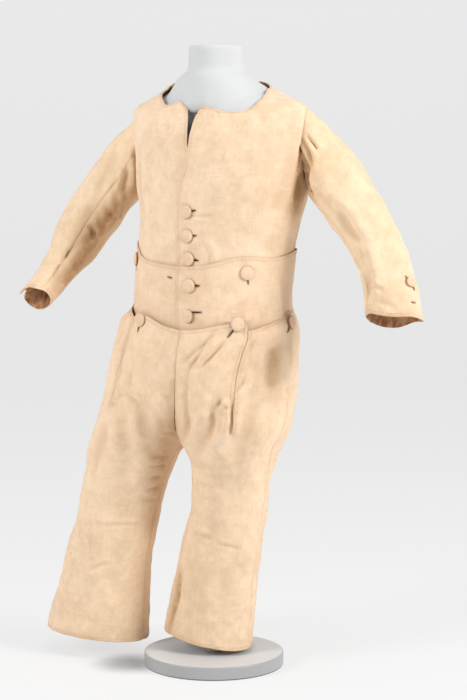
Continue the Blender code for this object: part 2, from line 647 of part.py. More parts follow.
def cuff_button(collection):
    """Button of the left cuff, on the face of the sleeve beside its outer seam."""
    def surface(angle, row):
        return sleeve("left", angle, row)[0]

    centre = surface(0, CUFF_BUTTON_ROW) / 2 + surface(180, CUFF_BUTTON_ROW) / 2
    button("button_cuff_left", surface, CUFF_BUTTON_ANGLE, CUFF_BUTTON_ROW, centre, collection,
           CUFF_BUTTON_RADIUS)


def form_points():
    """Rings of the dress form from the hips up, inside the jacket, to the top of the neck."""
    angle = np.arange(FORM_SEGMENTS) * 360 / FORM_SEGMENTS
    rings = []
    low = smooth(TORSO_ROWS, TORSO_COLUMNS, "centre_x", -1)
    for z, half_width in reversed(FORM_HIPS):
        x = low + half_width * np.sin(np.radians(angle))
        y = HIP_CENTRE_Y - HIP_DEPTH * half_width * np.cos(np.radians(angle))
        rings.append(np.stack([x, y, np.full(FORM_SEGMENTS, z)], axis=-1))
    for level, inset in FORM_ROWS:
        ring = torso(angle, level, -inset)
        ring[:, 2] -= inset * ramp(level, 4.5, 6.5)
        rings.append(ring)
    for z, half_width, half_depth in NECK_ROWS:
        x = NECK_CENTRE[0] + half_width * np.sin(np.radians(angle))
        y = NECK_CENTRE[1] - half_depth * np.cos(np.radians(angle))
        rings.append(np.stack([x, y, np.full(FORM_SEGMENTS, z)], axis=-1))
    return np.array(rings)


def cylinder(name, radius, low, high, segments, look, collection, bevel=0.0):
    """Upright cylinder on the axis, between two heights."""
    bm = bmesh.new()
    bmesh.ops.create_cone(bm, cap_ends=True, segments=segments, radius1=radius, radius2=radius,
                          depth=high - low, matrix=Matrix.Translation((0, 0, (low + high) / 2)))
    mesh = bpy.data.meshes.new(name)
    bm.to_mesh(mesh)
    bm.free()
    piece = place(name, mesh, collection, look)
    if bevel:
        edge = piece.modifiers.new("edge", "BEVEL")
        edge.width = bevel
        edge.segments = 2
    return piece


def main():
    for old in list(bpy.data.objects):
        bpy.data.objects.remove(old)
    suit = bpy.data.collections.new(NAME)
    bpy.context.scene.collection.children.link(suit)
    for side in SIDES:
        cloth("jacket_front_" + side, [front_points(side)], suit)
    cloth("jacket_back", [back_points()], suit)
    for side, (one, other) in ARM_SEAMS.items():
        pieces = {"upper": (one, other), "under": (other, one + ARM_CELLS)}
        if side == "right":
            pieces = {"under": (one, other), "upper": (other, one + ARM_CELLS)}
        for name, (first, last) in pieces.items():
            cloth(f"sleeve_{side}_{name}", [sleeve_points(side, first, last)], suit)
    for side in SIDES:
        cloth("waistband_" + side, [band_points(side)], suit)
        cloth("trouser_front_" + side, trouser_front(side), suit)
        cloth("trouser_back_" + side, trouser_back(side), suit)
    buttons(suit)
    cuff_button(suit)
    place("form_torso", loft([form_points()], closed=True), suit, "form", 60)
    cylinder("form_pole", POLE_RADIUS, DISC_HEIGHT + CONTACT, FORM_HIPS[-1][0] - CONTACT, 20, "base", suit)
    cylinder("base_disc", DISC_RADIUS, 0, DISC_HEIGHT, 64, "base", suit, DISC_BEVEL)


main()
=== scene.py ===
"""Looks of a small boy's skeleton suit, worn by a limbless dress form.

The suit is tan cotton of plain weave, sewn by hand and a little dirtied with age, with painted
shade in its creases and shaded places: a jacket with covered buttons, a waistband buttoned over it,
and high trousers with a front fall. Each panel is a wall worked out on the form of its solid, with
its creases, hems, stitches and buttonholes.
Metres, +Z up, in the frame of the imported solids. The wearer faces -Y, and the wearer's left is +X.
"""

import math

import bpy
import numpy as np
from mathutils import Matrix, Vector


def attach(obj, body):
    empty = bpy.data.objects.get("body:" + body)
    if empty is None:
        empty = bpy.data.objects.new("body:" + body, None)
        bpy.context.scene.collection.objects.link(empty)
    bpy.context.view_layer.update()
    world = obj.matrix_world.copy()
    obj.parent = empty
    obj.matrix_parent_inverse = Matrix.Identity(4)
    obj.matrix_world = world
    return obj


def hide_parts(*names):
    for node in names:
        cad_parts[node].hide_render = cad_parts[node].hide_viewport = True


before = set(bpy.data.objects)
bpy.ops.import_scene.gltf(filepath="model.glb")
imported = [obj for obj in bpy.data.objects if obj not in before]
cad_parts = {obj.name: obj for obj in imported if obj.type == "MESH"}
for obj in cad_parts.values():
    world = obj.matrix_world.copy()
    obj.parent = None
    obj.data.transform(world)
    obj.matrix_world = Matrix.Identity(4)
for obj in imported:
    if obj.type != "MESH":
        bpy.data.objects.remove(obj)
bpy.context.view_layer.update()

# The suit's cloth: cotton of plain weave in a warm tan, washed soft. It is paler where it is rubbed,
# browner along the edges and, as painted shade, in the creases, and brown inside, partly as painted
# shade and partly where no light has bleached it.
CLOTH_PALE = (0.950, 0.735, 0.530, 1)
CLOTH_TAN = (0.830, 0.610, 0.405, 1)
# Brown of soil, also used as the colour of painted shade in creases, shaded places and between threads.
CLOTH_SOIL_AND_SHADE = (0.500, 0.300, 0.145, 1)
# Inside colour: partly painted shade, partly cloth that no light has bleached.
CLOTH_INSIDE = (0.700, 0.430, 0.240, 1)
CLOTH_RUST = (0.420, 0.160, 0.060, 1)
THREAD_PITCH, WEAVE_DEPTH, THREAD_WANDER = 0.00062, 0.00016, 0.00022
SLUB_LENGTH, SLUB_WIDTH, SLUB_HEIGHT, SLUB_SHARE = 0.022, 0.0011, 0.7, 0.16
# Share of painted shade between the threads, and reach of the brown spots.
GAP_SHADE_SHARE, SPOT_REACH = 0.16, 0.22


def connect(tree, node, sockets):
    """Set a node's sockets to values, or link them from other sockets."""
    for name, value in sockets.items():
        if isinstance(value, bpy.types.NodeSocket):
            tree.links.new(value, node.inputs[name])
        else:
            node.inputs[name].default_value = value
    return node


def add(tree, kind, sockets=None, **settings):
    """Add a node with its settings, and connect its sockets."""
    node = tree.nodes.new(kind)
    for name, value in settings.items():
        setattr(node, name, value)
    return connect(tree, node, sockets or {})


def new_finish(name):
    """Material, with its node tree and its shader."""
    material = bpy.data.materials.new(name)
    material.use_nodes = True
    return material, material.node_tree, material.node_tree.nodes["Principled BSDF"]


def object_place(tree):
    """Place of the shaded point in the object, in metres."""
    return add(tree, "ShaderNodeTexCoord").outputs["Object"]


def mask(tree, name):
    """Value of one of the mesh's own masks."""
    return add(tree, "ShaderNodeAttribute", attribute_name=name).outputs["Fac"]


def noise(tree, place, scale, detail=2.0, roughness=0.5):
    """Factor of a noise texture."""
    sockets = {"Vector": place, "Scale": scale, "Detail": detail, "Roughness": roughness}
    return add(tree, "ShaderNodeTexNoise", sockets).outputs["Fac"]


def calc(tree, operation, *values):
    """Result of a Math node on numbers or sockets."""
    return add(tree, "ShaderNodeMath", dict(enumerate(values)), operation=operation).outputs[0]


def vector(tree, operation, *values, number=False):
    """Result of a Vector Math node on vectors or sockets, as a vector or as a number."""
    node = add(tree, "ShaderNodeVectorMath", dict(enumerate(values)), operation=operation)
    return node.outputs["Value" if number else "Vector"]


def weighted(tree, *terms):
    """Sum of sockets, each times its weight."""
    total = 0.0
    for value, weight in terms:
        total = calc(tree, "MULTIPLY_ADD", value, weight, total)
    return total


def blend_colours(tree, factor, one, other):
    """Colour between two colours, by a factor."""
    mix = add(tree, "ShaderNodeMix", {"Factor": factor, "A": one, "B": other}, data_type="RGBA")
    return mix.outputs["Result"]


def fraction(tree, value, low, high):
    """Share of the way from low to high, held between 0 and 1."""
    sockets = {"Value": value, "From Min": low, "From Max": high}
    return add(tree, "ShaderNodeMapRange", sockets, interpolation_type="SMOOTHSTEP").outputs["Result"]


def shader_group(name, inputs, outputs):
    """Empty node group with named sockets, given as name and socket type."""
    tree = bpy.data.node_groups.new(name, "ShaderNodeTree")
    for direction, sockets in (("INPUT", inputs), ("OUTPUT", outputs)):
        for socket, kind in sockets:
            tree.interface.new_socket(socket, in_out=direction, socket_type="NodeSocket" + kind)
    return tree, tree.nodes.new("NodeGroupInput").outputs, tree.nodes.new("NodeGroupOutput").inputs


def make_weave():
    """Plain weave: crossed round threads, over and under in turn, as a height from 0 to 1."""
    tree, given, result = shader_group("plain_weave", [("Place", "Vector"), ("Pitch", "Float")],
                                       [("Height", "Float")])
    wander = add(tree, "ShaderNodeTexNoise", {"Vector": given["Place"], "Scale": 420.0, "Detail": 1.0})
    nudge = vector(tree, "MULTIPLY", wander.outputs["Color"], (THREAD_WANDER,) * 3)
    place = vector(tree, "ADD", given["Place"], nudge)
    parts = add(tree, "ShaderNodeSeparateXYZ", {0: place}).outputs
    counts = [calc(tree, "DIVIDE", parts[axis], given["Pitch"]) for axis in "XY"]
    warp, weft = (calc(tree, "ABSOLUTE", calc(tree, "SINE", calc(tree, "MULTIPLY", count, math.pi)))
                  for count in counts)
    cell = calc(tree, "ADD", *(calc(tree, "FLOOR", count) for count in counts))
    over = calc(tree, "FLOORED_MODULO", cell, 2.0)
    tops = [calc(tree, "MULTIPLY", one, calc(tree, "MULTIPLY_ADD", other, 0.5, 0.5))
            for one, other in ((warp, weft), (weft, warp))]
    chosen = add(tree, "ShaderNodeMix", {"Factor": over, "A": tops[0], "B": tops[1]})
    tree.links.new(chosen.outputs["Result"], result["Height"])
    return tree


def make_slubs():
    """Uneven hand-spun threads: thin streaks along the warp and along the weft, from 0 to 1."""
    tree, given, result = shader_group("slubs", [("Place", "Vector")], [("Streaks", "Float")])
    streaks = []
    for scale in ((1 / SLUB_WIDTH, 1 / SLUB_LENGTH, 1), (1 / SLUB_LENGTH, 1 / SLUB_WIDTH, 1)):
        place = vector(tree, "MULTIPLY", given["Place"], scale)
        streaks.append(fraction(tree, noise(tree, place, 1.0), 0.42, 0.72))
    tree.links.new(calc(tree, "MAXIMUM", *streaks), result["Streaks"])
    return tree


def make_age():
    """Tone of old washed cotton: broad clouds, small blotches, a few brown spots, soiled edges, and painted
    shade in creases and shaded places.
    """
    tree, given, result = shader_group(
        "age", [("Place", "Vector"), ("Hollow", "Float"), ("Edge", "Float"), ("Streaks", "Float")],
        [("Colour", "Color")])
    place = given["Place"]
    clouds, blotches = noise(tree, place, 11.0, 3.0), noise(tree, place, 60.0, 7.0, 0.72)
    tone = weighted(tree, (clouds, 0.35), (blotches, 0.65))
    colour = blend_colours(tree, fraction(tree, tone, 0.36, 0.62), CLOTH_TAN, CLOTH_PALE)
    slub = calc(tree, "MULTIPLY", given["Streaks"], SLUB_SHARE)
    colour = blend_colours(tree, slub, colour, CLOTH_SOIL_AND_SHADE)
    spots = add(tree, "ShaderNodeTexVoronoi", {"Vector": place, "Scale": 46.0}).outputs["Distance"]
    reach = calc(tree, "MULTIPLY", fraction(tree, noise(tree, place, 24.0), 0.60, 0.74), SPOT_REACH)
    spot = calc(tree, "MULTIPLY", calc(tree, "LESS_THAN", spots, reach), fraction(tree, blotches, 0.40, 0.70))
    # Darkening: painted shade from the hollow mask, and soil from the edge mask and the spots.
    darkening = weighted(tree, (given["Hollow"], 0.75), (given["Edge"], 0.42), (spot, 0.30))
    darkening = calc(tree, "MULTIPLY", darkening, fraction(tree, blotches, 0.18, 0.58))
    tree.links.new(blend_colours(tree, darkening, colour, CLOTH_SOIL_AND_SHADE), result["Colour"])
    return tree


weave = make_weave()
slubs = make_slubs()
age = make_age()


def cotton(name, tint=(1, 1, 1, 1), inside=False):
    """Cotton finish. It reads the piece's own cloth map, in metres, its hollow mask, which carries painted
    shade, and its edge mask of wear.
    """
    material, tree, shader = new_finish(name)
    place = add(tree, "ShaderNodeUVMap", uv_map="cloth").outputs[0]
    streaks = add(tree, "ShaderNodeGroup", {"Place": place}, node_tree=slubs).outputs["Streaks"]
    threads = add(tree, "ShaderNodeGroup", {"Place": place, "Pitch": THREAD_PITCH}, node_tree=weave)
    threads = threads.outputs["Height"]
    height = calc(tree, "MULTIPLY_ADD", streaks, SLUB_HEIGHT, threads)
    bump = add(tree, "ShaderNodeBump", {"Height": height, "Strength": 0.55, "Distance": WEAVE_DEPTH})
    if inside:
        # Inside walls: a browner, darker copy of the cloth, partly painted shade.
        patches = fraction(tree, noise(tree, place, 90.0, 4.0), 0.38, 0.62)
        colour = blend_colours(tree, patches, CLOTH_INSIDE, CLOTH_RUST)
    else:
        sockets = {"Place": object_place(tree), "Hollow": mask(tree, "hollow"), "Edge": mask(tree, "edge"),
                   "Streaks": streaks}
        aged = add(tree, "ShaderNodeGroup", sockets, node_tree=age).outputs["Colour"]
        tinted = add(tree, "ShaderNodeMix", {"Factor": 1.0, "A": aged, "B": tint},
                     data_type="RGBA", blend_type="MULTIPLY").outputs["Result"]
        # Painted shade between the threads: the weave's low places are coloured toward brown.
        gap_shade = calc(tree, "MULTIPLY_ADD", fraction(tree, threads, 0.0, 0.45), -GAP_SHADE_SHARE, GAP_SHADE_SHARE)
        colour = blend_colours(tree, gap_shade, tinted, CLOTH_SOIL_AND_SHADE)
    connect(tree, shader, {"Base Color": colour, "Normal": bump.outputs[0], "Roughness": 0.88,
                           "Specular IOR Level": 0.22, "Sheen Weight": 0.18, "Sheen Roughness": 0.45})
    return material


# Jacket: two fronts and a back, round at the neck with no collar. The left front laps over the
# right one, and the front gapes in a narrow V at the neck. Its edges are turned in and stitched.
WALL = 0.0012
SEAM_GAP = 0.0001
LAYER = 0.0018
SIDES = {"left": 1, "right": -1}
STEP = 0.0024
FRONT_WIDTH, BACK_WIDTH = 0.125, 0.20
# The rows and columns at a rim stand at these distances from it.
RIM = np.array([0, 0.00018, 0.00045, 0.0009, 0.0016, 0.0026])
RIM_COLUMNS = 14
RIM_ROUND = {"hem": 0.0006, "seam": 0.0002}
SEAM_DIP, SEAM_REACH, SEAM_RIPPLE, RIPPLE_REACH = 0.0006, 0.0016, 0.00045, 0.0060
HEM_SWELL, HEM_STEP, HEM_RIPPLE, HEM_RIPPLE_REACH = 0.00022, 0.0007, 0.00040, 0.0050
GROOVE_DEPTH, GROOVE_INSET, GROOVE_REACH = 0.00036, 0.0010, 0.0008
RIPPLE_LENGTH = 0.010
SEAM_WEAR, HEM_WEAR = 0.5, 0.0022
DIMPLE_DEPTH, DIMPLE_SHARE, DIMPLE_NEAR = 0.0007, 1.15, 0.05
RAY_HEIGHT, RAYS, RAY_PLACE, RAY_WIDTH = 0.00042, 5, 1.5, 0.7
SHOULDER_SHARE, SHOULDER_PLACE, SHOULDER_WIDTH, CREASE_STATIONS = 0.28, 1.9, 0.8, 15
# Painted shade in the creases: the cloth is coloured darker where it is pressed in.
HOLLOW_SHADE, HOLLOW_START, HOLLOW_DEPTH = 0.55, 0.0008, 0.0028
# Swells of the cloth. A row is a seed, a wavelength and a height.
BODY_SWELLS = ((11, 0.070, 0.00080), (12, 0.022, 0.00036))
WAVES, WAVE_SPREAD = 16, (0.65, 1.6)
SEAM_SEEDS = {"jacket": 21, "band": 22, "sleeve": 23, "trouser": 24}
SQUARE = 0.04
TORSO_COLUMNS = ("level", "side_z", "front_z", "back_z", "centre_x", "half_width", "front_y", "back_y")
TORSO_ROWS = (
    (-1, 0.410, 0.410, 0.410, -0.004, 0.1075, -0.0710, 0.0770),   # below the hem
    (0, 0.455, 0.455, 0.455, -0.003, 0.1060, -0.0700, 0.0765),    # hem, under the waistband
    (1, 0.500, 0.500, 0.500, -0.0025, 0.1050, -0.0700, 0.0775),   # waist
    (2, 0.555, 0.550, 0.555, 0.0022, 0.1058, -0.0700, 0.0830),    # ribs
    (3, 0.600, 0.594, 0.602, 0.0086, 0.1089, -0.0710, 0.0880),    # chest
    (4, 0.632, 0.627, 0.640, 0.0090, 0.1160, -0.0720, 0.0910),    # armpit
    (5, 0.682, 0.664, 0.684, 0.008, 0.1200, -0.0700, 0.0900),     # middle of the armhole
    (6, 0.727, 0.693, 0.722, 0.006, 0.1200, -0.0640, 0.0820),     # shoulder tip
    (7, 0.7395, 0.711, 0.744, 0.003, 0.0950, -0.0560, 0.0700),    # middle of the shoulder seam
    (8, 0.7495, 0.727, 0.763, 0.001, 0.0700, -0.0490, 0.0600),    # neckline
)
ARMPIT, TIP, NECK = 4, 6, 8

# The neckline dips in front. It is a level by ring angle, and negative angles are the right side.
NECKLINE_COLUMNS = ("angle", "level")
NECKLINE = (
    (-180, 8.0), (-110, 8.0), (-80, 8.0), (-60, 7.95), (-45, 7.85), (-38, 7.75), (-31, 7.8), (-24, 8.0),
    (-12, 8.0), (-6, 7.85), (4, 8.0), (13, 8.0), (20, 7.75), (28, 7.4), (34, 7.15), (40, 7.0), (47, 6.97),
    (54, 7.1), (60, 7.25), (67, 7.4), (74, 7.55), (82, 7.7), (90, 7.88), (100, 8.0), (180, 8.0),
)
# The neckline stands a little higher at the right of the neck and at the fronts' corners. A row is
# the ring angle of a rise's middle, its half width in degrees, and its height at the top.
NECK_RISES = ((-112, 26, 0.0115), (-19, 7, 0.0060), (10, 8, 0.0016), (140, 30, 0.0020))
SIDE_SEAM, SHOULDER_SEAM = 103.0, 97.0
ARMHOLE_FRONT, ARMHOLE_BACK, ARMHOLE_ROUND = 17.0, 36.0, 0.75
EDGE_COLUMNS = ("z", "left_x", "right_x")
EDGE_ROWS = (
    (0.430, -0.0110, 0.0200),
    (0.549, -0.0114, 0.0200),
    (0.599, -0.0121, 0.0200),
    (0.631, -0.0063, 0.0190),
    (0.662, 0.0007, 0.0100),
    (0.676, 0.0032, 0.0032),    # foot of the gape
    (0.697, 0.0046, -0.0006),
    (0.714, 0.0058, -0.0050),
    (0.727, 0.0102, -0.0100),
)
LAP_FULL, LAP_NONE = 17.0, 38.0
HEM_WIDTH, NECK_HEM_WIDTH = 0.0052, 0.0040

# Creases of the body. A row is the two ends as ring angle and level, the half width, and the
# depth, which is negative in a trough, and the bow of its middle in degrees.
TORSO_CREASES = (
    (22, 7.40, 20, 6.95, 0.0020, -0.0018, 1),
    (-1, 2.92, 17, 2.95, 0.0026, -0.0023, 1),
    (0, 2.78, 15, 2.82, 0.0028, 0.0014, 1),
    (12, 2.20, 18, 1.55, 0.0026, -0.0025, 3),
    (14, 2.30, 22, 1.60, 0.0050, 0.0014, 3),
    (82, 5.00, 79, 4.30, 0.0030, -0.0040, 1),
    (74, 5.10, 66, 4.00, 0.0060, 0.0022, 2),
    (88, 4.40, 80, 3.30, 0.0110, -0.0051, 1),
    (66, 4.30, 51, 2.90, 0.0120, -0.0018, 3),
    (58, 4.60, 40, 3.30, 0.0130, 0.0016, 3),
    (74, 2.75, 56, 1.80, 0.0100, -0.0025, 3),
    (80, 3.10, 66, 1.90, 0.0080, 0.0018, 3),
    (22, 3.75, 52, 3.25, 0.0110, -0.0013, 2),
    (-46, 4.80, -53, 3.60, 0.0060, -0.0032, -1),
    (-36, 4.60, -24, 3.20, 0.0110, -0.0016, -3),
    (-40, 3.60, -34, 2.30, 0.0090, 0.0018, -2),
    (-60, 4.40, -62, 2.60, 0.0070, 0.0022, -2),
    (-20, 6.80, -24, 5.20, 0.0100, -0.0011, -2),
    (30, 6.60, 24, 5.40, 0.0120, -0.0011, 2),
    (92, 3.60, 92, 2.20, 0.0070, 0.0022, 1),
    (-92, 3.70, -88, 2.30, 0.0080, -0.0022, 1),
    (140, 5.6, 158, 4.4, 0.010, -0.0032, 3),
    (-140, 5.6, -158, 4.4, 0.010, -0.0032, -3),
    (150, 4.6, 168, 3.4, 0.012, 0.0025, 3),
    (-150, 4.6, -168, 3.4, 0.012, 0.0025, -3),
    (118, 4.5, 128, 3.2, 0.008, -0.0029, 2),
    (-118, 4.5, -130, 3.2, 0.008, -0.0029, -2),
    (168, 2.9, 160, 1.7, 0.008, -0.0022, 1),
    (-170, 3.0, -158, 1.8, 0.009, -0.0020, 1),
    (126, 3.2, 134, 1.9, 0.008, 0.0022, 2),
    (-124, 3.3, -130, 1.9, 0.008, 0.0020, -2),
    (174, 6.8, 182, 5.6, 0.012, -0.0016, 2),
)

# Painted shade, in the brown of soil, where the cloth lies in folds, is turned from the light or lies
# under other parts. A row is the two ends of a line, how far the shade reaches from it, and how strong
# it is.
SHADE_LINES = (
    (-0.027, -0.060, 0.325, -0.056, -0.030, 0.270, 0.018, 1.00),   # inside of the right thigh
    (-0.058, -0.027, 0.270, -0.083, -0.021, 0.185, 0.017, 0.80),
    (-0.037, -0.028, 0.120, -0.050, -0.029, 0.045, 0.008, 1.05),   # inside of the left calf
    (0.126, 0.002, 0.650, 0.121, 0.000, 0.606, 0.018, 1.35),       # under the left arm
    (0.130, 0.011, 0.650, 0.140, 0.010, 0.615, 0.012, 0.90),
    (-0.120, 0.004, 0.662, -0.128, 0.018, 0.620, 0.008, 1.00),     # under the right arm
    (-0.128, 0.014, 0.640, -0.152, 0.010, 0.596, 0.014, 1.05),
    (-0.152, 0.010, 0.596, -0.174, -0.024, 0.556, 0.017, 1.15),
    (-0.174, -0.024, 0.556, -0.186, -0.070, 0.500, 0.018, 1.25),   # under the right forearm
    (0.108, -0.022, 0.426, 0.103, -0.027, 0.376, 0.011, 0.50),     # flank, below the left side button
    (0.086, -0.046, 0.436, 0.104, -0.027, 0.392, 0.014, 0.24),
    (0.013, -0.070, 0.4605, 0.023, -0.069, 0.4575, 0.006, 0.90),   # below the fifth button
    (-0.012, -0.082, 0.380, -0.022, -0.070, 0.320, 0.006, 0.60),   # centre seam of the fall
    (0.110, -0.002, 0.548, 0.110, -0.002, 0.470, 0.010, 0.60),     # left side of the waistband
    (-0.230, -0.066, 0.026, -0.110, -0.070, 0.028, 0.008, 0.40),   # hems
    (-0.070, -0.040, 0.032, 0.040, -0.040, 0.028, 0.008, 0.40),
    (-0.226, -0.110, 0.478, -0.200, -0.080, 0.480, 0.008, 0.40),   # cuffs
    (0.240, -0.026, 0.470, 0.300, -0.020, 0.475, 0.008, 0.50),
)


def smooth(rows, columns, name, at):
    """One column of a table at any first-column value: cubic Hermite curves through its rows."""
    table = np.array(rows, dtype=float)
    knots, values = table[:, 0], table[:, columns.index(name)]
    slopes = np.gradient(values, knots)
    at = np.clip(np.asarray(at, dtype=float), knots[0], knots[-1])
    start = np.clip(np.searchsorted(knots, at, side="right") - 1, 0, len(knots) - 2)
    span = knots[start + 1] - knots[start]
    t = (at - knots[start]) / span
    rise = values[start + 1] - values[start]
    entry, leave = slopes[start] * span, slopes[start + 1] * span
    return (values[start] + t * entry + t ** 2 * (3 * rise - 2 * entry - leave)
            + t ** 3 * (entry + leave - 2 * rise))


def ramp(value, low, high):
    """Smooth rise from 0 at low to 1 at high: 3t^2 - 2t^3."""
    t = np.clip((np.asarray(value, dtype=float) - low) / (high - low), 0, 1)
    return t * t * (3 - 2 * t)


def around(angle):
    """Angle brought between -180 and 180 degrees."""
    return (np.asarray(angle) + 180) % 360 - 180


def torso(angle, level, out=0.0):
    """Jacket's ring: an ellipse swollen at its diagonals by sin^2 of twice the angle, moved out."""
    angle, level = np.broadcast_arrays(np.radians(angle), np.asarray(level, dtype=float))
    ring = {name: smooth(TORSO_ROWS, TORSO_COLUMNS, name, level) for name in TORSO_COLUMNS}
    centre_y = (ring["front_y"] + ring["back_y"]) / 2
    depth = (ring["back_y"] - ring["front_y"]) / 2
    swell = 1 + SQUARE * np.sin(2 * angle) ** 2
    fore, aft = np.maximum(np.cos(angle), 0) ** 2, np.maximum(-np.cos(angle), 0) ** 2
    rise = 0 * level
    for middle, half_width, height in NECK_RISES:
        away = around(np.degrees(angle) - middle) / half_width
        rise = rise + height * np.exp(-away ** 2) * ramp(level, TIP, NECK)
    return np.stack([
        ring["centre_x"] + (ring["half_width"] + out) * np.sin(angle) * swell,
        centre_y - (depth + out) * np.cos(angle) * swell,
        ring["side_z"] + (ring["front_z"] - ring["side_z"]) * fore + (ring["back_z"] - ring["side_z"]) * aft
        + rise,
    ], axis=-1)


def scoop(angle, level):
    """Level of a point when those above the shoulder tip are drawn down to the neckline."""
    top = smooth(NECKLINE, NECKLINE_COLUMNS, "level", around(angle)).clip(max=NECK)
    return np.where(level > TIP, TIP + (level - TIP) * (top - TIP) / (NECK - TIP), level)


def level_at(z):
    """Level of the ring whose side lies at a height."""
    table = np.array(TORSO_ROWS)
    return np.interp(z, table[:, TORSO_COLUMNS.index("side_z")], table[:, 0])


def edge_angle(level, side):
    """Angle of a front edge: the arc sine of its x over the ring's half width."""
    z = smooth(TORSO_ROWS, TORSO_COLUMNS, "front_z", level)
    x = smooth(EDGE_ROWS, EDGE_COLUMNS, side + "_x", z)
    centre_x = smooth(TORSO_ROWS, TORSO_COLUMNS, "centre_x", level)
    half_width = smooth(TORSO_ROWS, TORSO_COLUMNS, "half_width", level)
    return np.degrees(np.arcsin((x - centre_x) / half_width))


def armhole_angle(level, swing):
    """Angle of the armhole's edge: the seam's angle, swung by a sine between armpit and tip."""
    t = np.clip((np.asarray(level, dtype=float) - ARMPIT) / (TIP - ARMPIT), 0, 1)
    seam = SIDE_SEAM + (SHOULDER_SEAM - SIDE_SEAM) * t
    return seam + swing * np.sin(math.pi * t) ** ARMHOLE_ROUND


def lap(angle, layers):
    """Extra distance out where a piece passes over other layers near centre front."""
    return layers * LAYER * (1 - ramp(np.abs(angle), LAP_FULL, LAP_NONE))


def even(curve, start, stop, exact=(), step=STEP):
    """Values from start to stop, a step apart in metres along a curve, and closer at the rims."""
    fine = np.linspace(start, stop, 600)
    lengths = np.linalg.norm(np.diff(curve(fine), axis=0), axis=-1)
    length = np.concatenate([[0], np.cumsum(lengths)])
    inner = length[-1] - 2 * RIM[-1]
    middle = RIM[-1] + np.linspace(0, inner, max(2, round(inner / step)) + 1)
    values = np.interp(np.concatenate([RIM[:-1], middle, length[-1] - RIM[-2::-1]]), length, fine)
    for value in exact:
        values[np.abs(values - value).argmin()] = value
    return values


def shares(width, step=STEP):
    """Shares of a width from 0 to 1, a step apart and closer at the rims."""
    return even(lambda x: x[:, None] * width, 0, 1, step=step)


def unit(vectors):
    """Vectors of length 1."""
    return vectors / np.linalg.norm(vectors, axis=-1, keepdims=True)


def from_rim(points):
    """Metres from a grid's first column to each of the columns near it, and the way across them."""
    run = np.linalg.norm(np.diff(points[:, :RIM_COLUMNS], axis=1), axis=-1)
    away = np.concatenate([np.zeros((len(points), 1)), np.cumsum(run, axis=1)], axis=1)
    return away, unit(points[:, RIM_COLUMNS - 1] - points[:, 0])[:, None]


def trim(points, first=False, last=False, by=SEAM_GAP / 2):
    """Draw the first or last column of a grid back from the seam, and its neighbours with it."""
    points = points.copy()
    for wanted, ends in ((first, points), (last, points[:, ::-1])):
        if wanted:
            away, step = from_rim(ends)
            fade = 1 - ramp(away, 0, away[:, -1:].clip(0.003))
            ends[:, :RIM_COLUMNS] += step * (fade * by)[..., None]
    return points


def outward(points, sign):
    """Unit normals of a grid: the cross product of its column and row directions, times a sign."""
    return unit(np.cross(np.gradient(points, axis=1), np.gradient(points, axis=0)) * sign)


def edge_distances(points):
    """Metres along the cloth from the low and high row, and from the first and last column."""
    rise = np.cumsum(np.linalg.norm(np.diff(points, axis=0, prepend=points[:1]), axis=-1), axis=0)
    run = np.cumsum(np.linalg.norm(np.diff(points, axis=1, prepend=points[:, :1]), axis=-1), axis=1)
    return {"low": rise, "high": rise[-1] - rise, "first": run, "last": run[:, -1:] - run}


def swells(points, *rows):
    """Soft uneven swells: sums of sine waves in random directions. A row is seed, length, height."""
    push = 0
    for seed, wavelength, height in rows:
        rng = np.random.default_rng(seed)
        ways = unit(rng.normal(size=(WAVES, 3)))
        pace = 2 * math.pi / (wavelength * rng.uniform(*WAVE_SPREAD, WAVES))
        phase = rng.uniform(0, 2 * math.pi, WAVES)
        waves = np.sin(points @ (ways * pace[:, None]).T + phase)
        push = push + height * waves.sum(axis=-1) / math.sqrt(WAVES)
    return push


def creases(points, surface, rows):
    """Push at each point from a table of creases.

    Each crease is a line on the surface. Its cross section is a bell with a low shoulder of the
    opposite sign on both sides, and it tapers to nothing at its two ends.
    """
    push = np.zeros(points.shape[:-1])
    for from_turn, from_height, to_turn, to_height, half_width, depth, bow in rows:
        t = np.linspace(0, 1, CREASE_STATIONS)
        turn = from_turn + (to_turn - from_turn) * t + bow * np.sin(math.pi * t)
        line = surface(turn, from_height + (to_height - from_height) * t)
        reach = 4 * half_width
        near = np.all((points > line.min(axis=0) - reach) & (points < line.max(axis=0) + reach), axis=-1)
        spots = points[near]
        if not len(spots):
            continue
        start, step = line[:-1], np.diff(line, axis=0)
        offset = spots[:, None] - start
        part = np.clip((offset * step).sum(-1) / (step ** 2).sum(-1), 0, 1)
        away = np.linalg.norm(offset - part[..., None] * step, axis=-1)
        nearest = away.argmin(axis=1)
        chosen = np.arange(len(spots)), nearest
        away, place = away[chosen], (nearest + part[chosen]) / len(step)
        away = away / half_width
        shoulder = SHOULDER_SHARE * np.exp(-((away - SHOULDER_PLACE) / SHOULDER_WIDTH) ** 2)
        taper = np.clip(4 * place * (1 - place), 0, 1) ** 0.6
        push[near] += depth * (np.exp(-away ** 2) - shoulder) * taper
    return push


